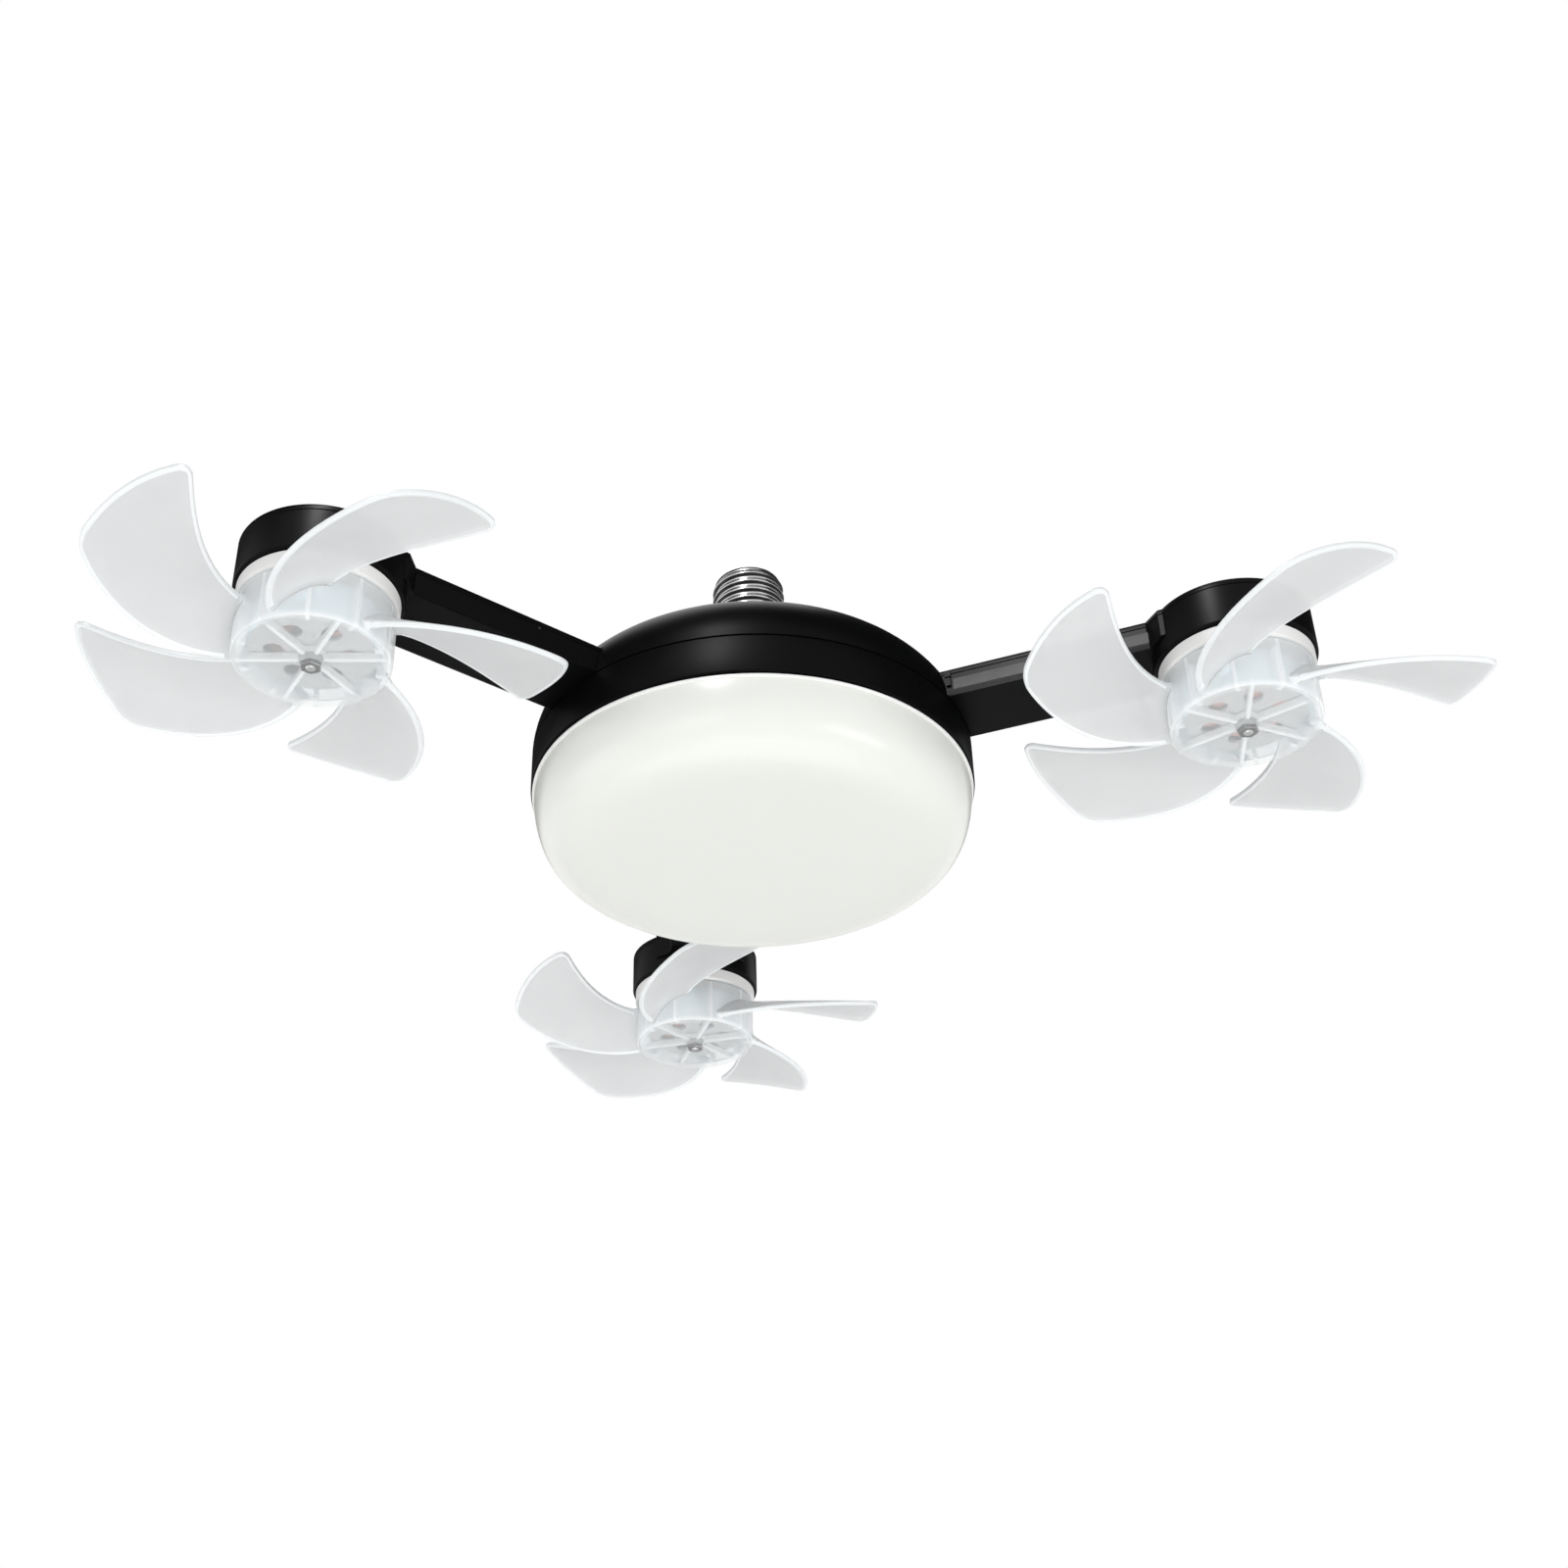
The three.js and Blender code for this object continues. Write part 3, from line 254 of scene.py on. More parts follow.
def lathe(outline, steps=96, number=0):
    """A shell turned about the z axis from its outline of (radius, z). It closes on itself."""
    points, rows = [], []
    for radius, z in outline:
        first = len(points)
        if radius == 0:
            points.append((0, 0, z))
            rows.append([first] * steps)
            continue
        for i in range(steps):
            turn = 2 * math.pi * i / steps
            points.append((radius * math.cos(turn), radius * math.sin(turn), z))
        rows.append(list(range(first, first + steps)))
    return points, bands(rows + rows[:1]), number


def curve(centre_radius, centre_z, size, start, end, steps=6):
    """Points of a rounded edge, for an outline. Angles are from the outward direction, degrees."""
    turns = [math.radians(start + (end - start) * i / steps) for i in range(steps + 1)]
    return [(centre_radius + size * math.cos(t), centre_z + size * math.sin(t)) for t in turns]


def thread_fade(depth):
    """How much of the thread's full depth is rolled at a depth below the shell's top."""
    thread_end = thread_start + thread_turns * thread_pitch
    rise = min(depth - thread_start, thread_end - depth) / thread_pitch
    return min(max(rise + 0.5, 0), 1)


def cap_thread(steps=120):
    """The shell's outside and inside, with the thread rolled into the wall."""
    depth_end = cap_shell_top - cap_rim
    count = round(depth_end / thread_row)
    points = []
    for inset in (0, cap_wall):
        for row in range(count + 1):
            depth = depth_end * (row if inset == 0 else count - row) / count
            near_top = min(depth / thread_start, 1)
            rounding = math.sqrt(near_top * (2 - near_top))
            plain = cap_lip + (cap_radius - thread_depth - cap_lip) * rounding
            fade = thread_fade(depth)
            for i in range(steps):
                turn = 2 * math.pi * i / steps
                wave = math.cos(2 * math.pi * depth / thread_pitch + turn)
                crest = cap_radius - thread_depth / 2 * (1 - wave)
                radius = plain + (crest - plain) * fade - inset
                z = cap_shell_top - depth
                points.append((radius * math.cos(turn), radius * math.sin(turn), z))
    rows = rings(points, steps)
    return points, bands(rows + rows[:1]), 0


def new_group(name, inputs):
    """A shader group for a finish, what is fed into it, and the place on the piece."""
    group = bpy.data.node_groups.new(name, "ShaderNodeTree")
    for label, kind, value in inputs:
        socket = group.interface.new_socket(label, in_out="INPUT", socket_type="NodeSocket" + kind)
        socket.default_value = value
    for label, kind in (("Colour", "Color"), ("Roughness", "Float"), ("Height", "Float")):
        group.interface.new_socket(label, in_out="OUTPUT", socket_type="NodeSocket" + kind)
    given = group.nodes.new("NodeGroupInput").outputs
    return group, given, group.nodes.new("ShaderNodeTexCoord").outputs["Object"]


def put_out(group, colour, roughness, height):
    """Links what a finish group puts out."""
    end = group.nodes.new("NodeGroupOutput")
    for label, source in (("Colour", colour), ("Roughness", roughness), ("Height", height)):
        group.links.new(source, end.inputs[label])


def feed(group, socket, value):
    """Sets a socket to a plain number, or links another socket to it."""
    if isinstance(value, (int, float)):
        socket.default_value = value
    else:
        group.links.new(value, socket)


def new_math(group, kind, first, second):
    """A maths node fed by sockets or plain numbers."""
    node = group.nodes.new("ShaderNodeMath")
    node.operation = kind
    feed(group, node.inputs[0], first)
    feed(group, node.inputs[1], second)
    return node.outputs[0]


def new_noise(group, vector, scale, detail):
    """A noise node, from 0 to 1."""
    node = group.nodes.new("ShaderNodeTexNoise")
    node.inputs["Detail"].default_value = detail
    group.links.new(vector, node.inputs["Vector"])
    feed(group, node.inputs["Scale"], scale)
    return node.outputs[0]


def new_blend(group, share, first, second):
    """Mixes two colours by a share."""
    node = group.nodes.new("ShaderNodeMix")
    node.data_type = "RGBA"
    group.links.new(share, node.inputs["Factor"])
    group.links.new(first, node.inputs["A"])
    group.links.new(second, node.inputs["B"])
    return node.outputs["Result"]


# Fine lines that run round a turned or drawn metal piece, with cloudy tarnish between them.
line_stretch = 0.06
tarnish_spread = 0.05
tarnish_roughness = 0.35
turned_lines, lines, lines_place = new_group("turned_lines", [
    ("Metal", "Color", (0.7, 0.7, 0.7, 1)),
    ("Tarnish", "Color", (0.5, 0.5, 0.5, 1)),
    ("Line size", "Float", 0.2),
    ("Roughness", "Float", 0.3),
])
lines_squash = turned_lines.nodes.new("ShaderNodeMapping")
lines_squash.inputs["Scale"].default_value = (line_stretch, line_stretch, 1)
turned_lines.links.new(lines_place, lines_squash.inputs["Vector"])
lines_scale = new_math(turned_lines, "DIVIDE", metre, lines["Line size"])
lines_noise = new_noise(turned_lines, lines_squash.outputs[0], lines_scale, detail=2)
cloud_scale = new_math(turned_lines, "MULTIPLY", lines_scale, tarnish_spread)
cloud_noise = new_noise(turned_lines, lines_place, cloud_scale, detail=3)
lines_share = new_math(turned_lines, "MULTIPLY", lines_noise, cloud_noise)
lines_spread = new_math(turned_lines, "MULTIPLY", lines_share, tarnish_roughness)
put_out(
    turned_lines,
    colour=new_blend(turned_lines, lines_share, lines["Metal"], lines["Tarnish"]),
    roughness=new_math(turned_lines, "ADD", lines["Roughness"], lines_spread),
    height=lines_noise,
)


def new_finish(name, group, values, bump, **plain):
    """A material with one finish group in it. Plain numbers go straight to the shader's sockets."""
    finish = bpy.data.materials.new(name)
    finish.use_nodes = True
    nodes, links = finish.node_tree.nodes, finish.node_tree.links
    shader = nodes["Principled BSDF"]
    for label, value in plain.items():
        shader.inputs[label.replace("_", " ")].default_value = value
    look = nodes.new("ShaderNodeGroup")
    look.node_tree = group
    for label, value in values.items():
        look.inputs[label].default_value = value
    links.new(look.outputs["Colour"], shader.inputs["Base Color"])
    links.new(look.outputs["Roughness"], shader.inputs["Roughness"])
    relief = nodes.new("ShaderNodeBump")
    relief.inputs["Strength"].default_value = 1
    relief.inputs["Distance"].default_value = bump / metre
    links.new(look.outputs["Height"], relief.inputs["Height"])
    links.new(relief.outputs["Normal"], shader.inputs["Normal"])
    return finish


def lined_metal(name, metal, tarnish, line_size, roughness, bump=0.01, metallic=1):
    """A finish with fine lines round it. The line size is in millimetres, and so is the bump."""
    values = {
        "Metal": (*metal, 1),
        "Tarnish": (*tarnish, 1),
        "Line size": line_size,
        "Roughness": roughness,
    }
    return new_finish(name, turned_lines, values, bump, Metallic=metallic)


def dress(piece, finish, slot, body, *nodes):
    """Gives a piece its material, its body and the nodes that it stands for. The slot is not used.
    """
    piece.data.materials.append(finish)
    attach(piece, body)
    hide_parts(*nodes)


# Plating that stays bright on the thread's crests. Below them the lower flanks are painted dark and
# dull, a painted reflection of the black dome beneath, in uneven patches.
dark_reflection_start = 0.55
dark_reflection_edge = 3
dark_reflection_patch_size = 2.5
dark_reflection_patches = 0.5
dark_reflection_roughness = 0.2
rolled_thread, thread, thread_place = new_group("rolled_thread", [
    ("Metal", "Color", (0.8, 0.8, 0.8, 1)),
    ("Dark reflection", "Color", (0.1, 0.1, 0.1, 1)),
    ("Start", "Float", cap_shell_top),
    ("Pitch", "Float", thread_pitch),
    ("Roughness", "Float", 0.2),
])
thread_axes = rolled_thread.nodes.new("ShaderNodeSeparateXYZ")
rolled_thread.links.new(thread_place, thread_axes.inputs[0])
thread_level = new_math(rolled_thread, "MULTIPLY", thread_axes.outputs["Z"], metre)
thread_down = new_math(rolled_thread, "SUBTRACT", thread["Start"], thread_level)
thread_rounds = new_math(rolled_thread, "DIVIDE", thread_down, thread["Pitch"])
thread_phase = new_math(rolled_thread, "MULTIPLY", thread_rounds, 2 * math.pi)
thread_y, thread_x = thread_axes.outputs["Y"], thread_axes.outputs["X"]
thread_bearing = new_math(rolled_thread, "ARCTAN2", thread_y, thread_x)
thread_angle = new_math(rolled_thread, "ADD", thread_phase, thread_bearing)
thread_wave = new_math(rolled_thread, "SINE", thread_angle, 0)
thread_lower = new_math(rolled_thread, "SUBTRACT", thread_wave, dark_reflection_start)
thread_cloud = new_noise(rolled_thread, thread_place, metre / dark_reflection_patch_size, detail=2)
thread_patch = new_math(rolled_thread, "MULTIPLY", thread_cloud, dark_reflection_patches)
thread_steep = new_math(rolled_thread, "MULTIPLY", thread_lower, dark_reflection_edge)
thread_edge = new_math(rolled_thread, "ADD", thread_steep, thread_patch)
thread_above = new_math(rolled_thread, "MAXIMUM", thread_edge, 0)
reflection_share = new_math(rolled_thread, "MINIMUM", thread_above, 1)
thread_dull = new_math(rolled_thread, "MULTIPLY", reflection_share, dark_reflection_roughness)
put_out(
    rolled_thread,
    colour=new_blend(rolled_thread, reflection_share, thread["Metal"], thread["Dark reflection"]),
    roughness=new_math(rolled_thread, "ADD", thread["Roughness"], thread_dull),
    height=thread_cloud,
)

# The cap's plating, with the painted dark reflection on the thread's lower flanks.
cap_plating = new_finish(
    "cap_plating",
    rolled_thread,
    {
        "Metal": (0.62, 0.62, 0.62, 1),
        "Dark reflection": (0.04, 0.04, 0.04, 1),
        "Start": cap_shell_top,
        "Pitch": thread_pitch,
        "Roughness": 0.2,
    },
    bump=0.01,
    Metallic=1,
)
contact_tin = lined_metal(
    "contact_tin",
    metal=(0.62, 0.62, 0.61),
    tarnish=(0.4, 0.39, 0.37),
    line_size=0.6,
    roughness=0.34,
    bump=0.02,
)
cap_glass = lined_metal(
    "cap_glass",
    metal=(0.012, 0.012, 0.014),
    tarnish=(0.03, 0.03, 0.03),
    line_size=2,
    roughness=0.1,
    bump=0.02,
    metallic=0,
)
cap_shell = part("cap_shell_rolled", cap_thread(), angle=60)
dress(cap_shell, cap_plating, "cap_nickel", "lamp", "cap_shell")
contact_outline = [
    (0, 0),
    (contact_flat, 0),
    *curve(contact_radius - contact_edge, contact_bottom + contact_edge, contact_edge, 75, 0),
    (contact_radius, contact_bottom),
    (rivet_radius, contact_bottom),
    (rivet_radius, contact_bottom - rivet_length),
    (0, contact_bottom - rivet_length),
]
contact = part("cap_contact_button", lathe(contact_outline))
dress(contact, contact_tin, "cap_nickel", "lamp", "cap_contact")
insulator_outline = [
    (insulator_bore, insulator_top),
    (contact_radius, insulator_top),
    (insulator_seat, insulator_top - insulator_seat_drop),
    (insulator_radius - insulator_edge, cap_shell_top + insulator_edge_rise),
    (insulator_radius, cap_shell_top),
    (insulator_radius, cap_shell_top - insulator_plug),
    (insulator_bore, cap_shell_top - insulator_plug),
]
insulator = part("cap_glass_ring", lathe(insulator_outline))
dress(insulator, cap_glass, "cap_glass", "lamp", "cap_insulator")


# Neck
# A hollow black moulding plugged into the cap. Its spigot goes through the housing's top, where a
# notched ring nut holds it from inside.
neck_top = -27.3
neck_plug_top = -15
neck_fit = 0.3
neck_plug_radius = cap_inner - neck_fit
neck_bore = 8
neck_top_radius = 13.4
neck_waist_radius = 19
neck_waist = -50.8
neck_flange_radius = 24.5
neck_flange_top = -54.6
neck_flange_bottom = -57
neck_spigot_radius = 16.5
neck_spigot_bottom = -62.8
neck_groove_radius = 14.8
neck_groove_top = -34.9
neck_groove_width = 1.2
neck_groove_depth = 0.6
neck_edge = 0.4
neck_flange_round = 0.7
neck_flare_foot = 1.6
neck_flare_start = 0.5
neck_flare_height = 1.2

# Moulded plastic: cloudy colour, and a fine grain that breaks up the gloss.
moulded_grain, mould, mould_place = new_group("moulded_grain", [
    ("Colour", "Color", (0.5, 0.5, 0.5, 1)),
    ("Cloud", "Color", (0.4, 0.4, 0.4, 1)),
    ("Cloud size", "Float", 20.0),
    ("Grain size", "Float", 0.5),
    ("Roughness", "Float", 0.4),
    ("Roughness spread", "Float", 0.1),
])
haze_scale = new_math(moulded_grain, "DIVIDE", metre, mould["Cloud size"])
haze = new_noise(moulded_grain, mould_place, haze_scale, detail=3)
grain_scale = new_math(moulded_grain, "DIVIDE", metre, mould["Grain size"])
grain = new_noise(moulded_grain, mould_place, grain_scale, detail=1)
grain_sum = new_math(moulded_grain, "ADD", grain, haze)
grain_spread = new_math(moulded_grain, "MULTIPLY", grain_sum, mould["Roughness spread"])
put_out(
    moulded_grain,
    colour=new_blend(moulded_grain, haze, mould["Colour"], mould["Cloud"]),
    roughness=new_math(moulded_grain, "ADD", mould["Roughness"], grain_spread),
    height=grain,
)


def moulded(
    name, colour, cloud, roughness, bump, cloud_size=20, grain_size=0.5, spread=0.1, **plain
):
    """A moulded plastic. The sizes and the bump are in millimetres."""
    values = {
        "Colour": (*colour, 1),
        "Cloud": (*cloud, 1),
        "Cloud size": cloud_size,
        "Grain size": grain_size,
        "Roughness": roughness,
        "Roughness spread": spread,
    }
    return new_finish(name, moulded_grain, values, bump, **plain)


black_look = {
    "colour": (0.0022, 0.0022, 0.0024),
    "cloud": (0.0038, 0.0038, 0.004),
    "cloud_size": 30,
    "grain_size": 0.45,
    "spread": 0.08,
    "bump": 0.006,
}
black_plastic = moulded("black_plastic", **black_look, roughness=0.3, Specular_IOR_Level=0.05)
neck_groove_floor = neck_groove_radius - neck_groove_depth
neck_groove_bottom = neck_groove_top - neck_groove_width
neck_flange_curve = neck_flange_radius - neck_flange_round
neck_outline = [
    (neck_bore, neck_spigot_bottom),
    (neck_spigot_radius, neck_spigot_bottom),
    (neck_spigot_radius, neck_flange_bottom),
    (neck_flange_radius - neck_edge, neck_flange_bottom),
    *curve(neck_flange_curve, neck_flange_top - neck_flange_round, neck_flange_round, 0, 90),
    (neck_waist_radius + neck_flare_foot, neck_flange_top),
    (neck_waist_radius + neck_flare_start, neck_flange_top + neck_flare_height),
    (neck_waist_radius, neck_waist),
    (neck_groove_radius, neck_groove_bottom),
    (neck_groove_floor, neck_groove_bottom),
    (neck_groove_floor, neck_groove_top),
    (neck_groove_radius, neck_groove_top),
    (neck_top_radius, neck_top - neck_edge),
    (neck_top_radius - neck_edge, neck_top),
    (neck_plug_radius, neck_top),
    (neck_plug_radius, neck_plug_top),
    (neck_bore, neck_plug_top),
]
dress(part("neck_stalk", lathe(neck_outline)), black_plastic, "black_plastic", "lamp", "neck")


# Top housing
# The domed black shell, moulded with a rounded shoulder. Three mouths at its lower edge take the
# arms.
housing_radius = 76.9
housing_top = -57.3
seam = -85.5
housing_wall = 2.2
shoulder_width = 30.8
shoulder_height = housing_top - seam
housing_hole = 16.8
housing_edge = 0.35
round_steps = 160
arm_angles = {"back": 90, "left": 210, "right": 330}
mouth_half = 13.8
mouth_top = -74.6
mouth_inner = 40
mouth_outer = 90
mouth_overrun = 3


def block(low, high):
    """A box-shaped shell between two corners, in millimetres."""
    spans = list(zip(low, high))
    points = [(x, y, z) for x in spans[0] for y in spans[1] for z in spans[2]]
    faces = [(0, 1, 3, 2), (4, 6, 7, 5), (0, 4, 5, 1), (2, 3, 7, 6), (0, 2, 6, 4), (1, 5, 7, 3)]
    return points, faces, 0


def turned(shell, degrees, reach=0):
    """A shell moved out along x, then turned about the z axis."""
    points, faces, number = shell
    c, s = math.cos(math.radians(degrees)), math.sin(math.radians(degrees))
    moved = [((x + reach) * c - y * s, (x + reach) * s + y * c, z) for x, y, z in points]
    return moved, faces, number


def carve(piece, *shells, angle=32):
    """Cuts the shells out of a piece."""
    cutter = part("cutter", *shells)
    knife = piece.modifiers.new("carve", "BOOLEAN")
    knife.operation = "DIFFERENCE"
    knife.solver = "EXACT"
    knife.object = cutter
    bpy.context.view_layer.update()
    cut = piece.evaluated_get(bpy.context.evaluated_depsgraph_get())
    carved = bpy.data.meshes.new_from_object(cut)
    piece.modifiers.clear()
    piece.data = carved
    piece.data.set_sharp_from_angle(angle=math.radians(angle))
    bpy.data.objects.remove(cutter)


def ease(piece, width):
    """Rounds a piece's sharp edges, as a mould does."""
    edge = piece.modifiers.new("ease", "BEVEL")
    edge.width = width / metre
    edge.segments = 2
    edge.limit_method = "ANGLE"
    edge.angle_limit = math.radians(40)
    edge.harden_normals = True


def shoulder(inset, steps=24):
    """The shoulder's outline from the flat top's edge down to the seam."""
    turns = [math.pi / 2 * i / steps for i in range(steps + 1)]
    return [
        (
            housing_radius - shoulder_width + (shoulder_width - inset) * math.sin(t),
            seam + (shoulder_height - inset) * math.cos(t),
        )
        for t in turns
    ]


shell_outline = [
    (housing_hole, housing_top),
    *shoulder(0),
    *reversed(shoulder(housing_wall)),
    (housing_hole, housing_top - housing_wall),
]
housing = part("housing_dome", lathe(shell_outline, round_steps))
mouth = block(
    (mouth_inner, -mouth_half, seam - mouth_overrun),
    (mouth_outer, mouth_half, mouth_top),
)
carve(housing, *[turned(mouth, degrees) for degrees in arm_angles.values()])
ease(housing, housing_edge)
dress(housing, black_plastic, "black_plastic", "lamp", "top_housing")


# Lamp ring
# The black band below the seam. A lip centres it in the dome, and its shelf carries the heat plate.
ring_top = -85.8
ring_bottom = -100
ring_shelf_top = -88.3
ring_shelf_bottom = -90.3
ring_shelf_inner = 55
ring_shelf_step = 6
ring_lip_fit = 0.3
ring_edge = 0.5
ring_wall_radius = housing_radius - housing_wall

ring_outline = [
    (ring_shelf_inner, ring_shelf_bottom),
    (ring_wall_radius, ring_shelf_bottom),
    (ring_wall_radius, ring_bottom),
    *curve(housing_radius - ring_edge, ring_bottom + ring_edge, ring_edge, -90, 0, steps=3),
    *curve(housing_radius - ring_edge, ring_top - ring_edge, ring_edge, 0, 90, steps=3),
    (ring_wall_radius - ring_lip_fit, ring_top),
    (ring_shelf_inner + ring_shelf_step, ring_top),
    (ring_shelf_inner + ring_shelf_step, ring_shelf_top),
    (ring_shelf_inner, ring_shelf_top),
]
lamp_ring = part("lamp_band", lathe(ring_outline, round_steps))
dress(lamp_ring, black_plastic, "black_plastic", "lamp", "lamp_ring")


# Diffuser
# An opal bowl, moulded and faintly satin. Its thin rim shows all round below the black band, whiter
# than the bowl: a painted highlight.
diffuser_radius = 75.7
diffuser_top = -100.3
diffuser_bottom = -125.5
diffuser_squareness = 11.5  # of the bowl's corner, where 2 is an ellipse
diffuser_wall = 1.6
diffuser_lip_radius = 74.4
diffuser_lip_top = -95.3
diffuser_lip_wall = 1.8
diffuser_rim = 0.7
diffuser_rim_drop = 0.05

opal = moulded(
    "opal_diffuser",
    colour=(0.87, 0.878, 0.83),
    cloud=(0.855, 0.864, 0.815),
    cloud_size=60,
    grain_size=1.2,
    roughness=0.22,
    spread=0.02,
    bump=0.0004,
    Specular_IOR_Level=0.4,
)
# The rim bead's opal is painted whiter than the bowl's, a painted highlight.
opal_rim_highlight = moulded(
    "opal_rim_highlight",
    colour=(0.95, 0.95, 0.93),
    cloud=(0.92, 0.92, 0.9),
    cloud_size=30,
    grain_size=1,
    roughness=0.25,
    spread=0.06,
    bump=0.004,
)


def bowl(inset, steps=40):
    """The bowl's outline from its rim down to near its middle, in one smooth sweep."""
    turns = [math.pi / 2 * (1 - (1 - i / steps) ** 2) for i in range(steps)]
    return [
        (
            (diffuser_radius - inset) * math.cos(t) ** (2 / diffuser_squareness),
            diffuser_top - (diffuser_top - diffuser_bottom - inset) * math.sin(t),
        )
        for t in turns
    ]


bowl_outline = [
    (0, diffuser_bottom),
    *reversed(bowl(0)),
    (diffuser_lip_radius, diffuser_top),
    (diffuser_lip_radius, diffuser_lip_top),
    (diffuser_lip_radius - diffuser_lip_wall, diffuser_lip_top),
    (diffuser_lip_radius - diffuser_lip_wall, diffuser_top),
    *bowl(diffuser_wall)[1:],
    (0, diffuser_bottom + diffuser_wall),
]
rim_middle = diffuser_top - diffuser_rim - diffuser_rim_drop
rim_outline = curve(diffuser_radius, rim_middle, diffuser_rim, 0, 330, steps=11)
diffuser = part(
    "diffuser_bowl",
    lathe(bowl_outline, round_steps),
    lathe(rim_outline, round_steps, number=1),
    angle=40,
)
dress(diffuser, opal, "opal_diffuser", "lamp", "diffuser")
diffuser.data.materials.append(opal_rim_highlight)


# Arms
# Each arm is a black channel moulded in one with its motor cup, under a flat snap-in cover. A
# stepped rail runs along its clockwise side. One screw inside the housing holds it.
arm_reach = 168.4
arm_root = 55.5
arm_half = 13.5
arm_bottom = -85.5
arm_wall_top = -77.2
arm_floor = -83.5
arm_wall = 2
arm_edge = 0.35
cover_bottom = -76.9
cover_top = -74.9
cover_edge = 0.15
cover_round = 0.5
neck_start = 143.5
flare = 5
cup_radius = 26.1
cup_bottom = -90.8
cup_opening = 13
cup_wall = 2
cup_round = 0.7
cup_steps = 72
bar_overlap = 9  # from the bar's square end to the cup's axis
rail_side = 14.5
rail_top = -79.3
rail_crease = -83.9
rail_start = 78.2
rail_lip_start = 76.4
rail_end = 144
rail_sink = 0.3
rail_edge = 0.12
rail_draft = 0.15
rail_step = 0.1
rail_top_inset = 0.75
rail_shoulder_inset = 0.55
rail_lip_depth = 0.5
rail_foot_inset = 1
rail_foot_round = 0.7
rail_foot_rise = 0.25
catch_start = 75.4
catch_end = 77.5
catch_inset = 0.2
catch_sink = 0.4
catch_levels = (1.1, 3.2)  # over the rail's top
low_catch_levels = (-2.6, 0.4)
low_catch_start = catch_start + 0.4
low_catch_inset = 0.1
side_rib_place = 76.6  # small upright rib on the arm's other side
side_rib_width = 0.6
side_rib_depth = 0.25
side_rib_levels = (-2, 1.6)
pip_place = 97.9  # small round pip on the same side
pip_level = -77.9
pip_radius = 0.5
pip_length = 0.45
pip_edge = 0.05
pip_sink = 0.2
pip_steps = 16

glossy_black = moulded("arm_plastic", **black_look, roughness=0.26, Specular_IOR_Level=0.09)


def inset_plan(plan, inset):
    """A plan's corners moved inwards by the inset."""
    moved = []
    for before, here, after in zip(plan[-1:] + plan[:-1], plan, plan[1:] + plan[:1]):
        a = Vector((here[0] - before[0], here[1] - before[1])).normalized()
        b = Vector((after[0] - here[0], after[1] - here[1])).normalized()
        aside = Vector((-a.y - b.y, a.x + b.x))
        reach = inset * 2 / max(aside.length_squared, 0.5)
        moved.append((here[0] + aside.x * reach, here[1] + aside.y * reach))
    return moved


def tray(plan, steps):
    """A shell through copies of a plan at (inset, z) steps, closed at the first and the last."""
    points = []
    for inset, z in steps:
        points += [(x, y, z) for x, y in inset_plan(plan, inset)]
    rows = rings(points, len(plan))
    return points, [*bands(rows), rows[0], rows[-1]], 0


def number_shell(shell, number):
    """The same shell with another material number for all its faces, or one for each."""
    return shell[0], shell[1], number


def swept(section, start, end):
    """A shell with one cross section of (y, z), run along x."""
    points = [(x, y, z) for x in (start, end) for y, z in section]
    ends = rings(points, len(section))
    return points, [*bands(ends), *ends], 0


# The rail's plastic is a lighter grey than the arm's, and glossier.
rail_grey_plastic = moulded(
    "rail_grey_plastic",
    colour=(0.03, 0.03, 0.031),
    cloud=(0.046, 0.046, 0.047),
    cloud_size=6,
    grain_size=0.4,
    roughness=0.32,
    spread=0.12,
    bump=0.01,
    Specular_IOR_Level=0.3,
)
flare_end = neck_start + flare
bar_end = arm_reach - bar_overlap
bar_plan = [
    (arm_root, -arm_half),
    (neck_start, -arm_half),
    (flare_end, -arm_half - flare),
    (bar_end, -arm_half - flare),
    (bar_end, arm_half + flare),
    (flare_end, arm_half + flare),
    (neck_start, arm_half),
    (arm_root, arm_half),
]
cup_turn = 180 - math.degrees(math.asin((arm_half + flare) / cup_radius))
cup_arc = [math.radians(-cup_turn + 2 * cup_turn * i / cup_steps) for i in range(cup_steps + 1)]
cover_plan = [
    *bar_plan[:3],
    *[(arm_reach + cup_radius * math.cos(t), cup_radius * math.sin(t)) for t in cup_arc],
    *bar_plan[5:],
]
channel = tray(bar_plan, [
    (arm_edge, arm_bottom),
    (0, arm_bottom + arm_edge),
    (0, arm_wall_top),
    (arm_wall, arm_wall_top),
    (arm_wall, arm_floor),
])
lid = tray(cover_plan, [
    (cover_edge, cover_bottom),
    (0, cover_bottom + cover_edge),
    (0, cover_top - cover_round),
    (cover_edge, cover_top - cover_edge),
    (cover_round, cover_top),
])
cup_outline = [
    (cup_opening, cup_bottom),
    *curve(cup_radius - cup_round, cup_bottom + cup_round, cup_round, -90, 0, steps=4),
    (cup_radius, arm_wall_top),
    (cup_radius - cup_wall, arm_wall_top),
    (cup_radius - cup_wall, cup_bottom + cup_wall),
    (cup_opening, cup_bottom + cup_wall),
]
rail_root = -arm_half + rail_sink
rail_lip = [
    (rail_root, rail_crease),
    (-rail_side + rail_edge, rail_crease),
    (-rail_side, rail_crease - rail_edge),
    (-rail_side + rail_draft, rail_crease - rail_lip_depth),
    (-rail_side + rail_foot_round, arm_bottom + rail_foot_rise),
    (-rail_side + rail_foot_inset, arm_bottom),
    (rail_root, arm_bottom),
]
rail_face = [
    (rail_root, rail_top),
    (-rail_side + rail_top_inset, rail_top),
    (-rail_side + rail_shoulder_inset, rail_top - rail_draft),
    (-rail_side + rail_step, rail_crease + rail_step),
    (-rail_side + rail_step, rail_crease - rail_step),
    (rail_root, rail_crease - rail_step),
]
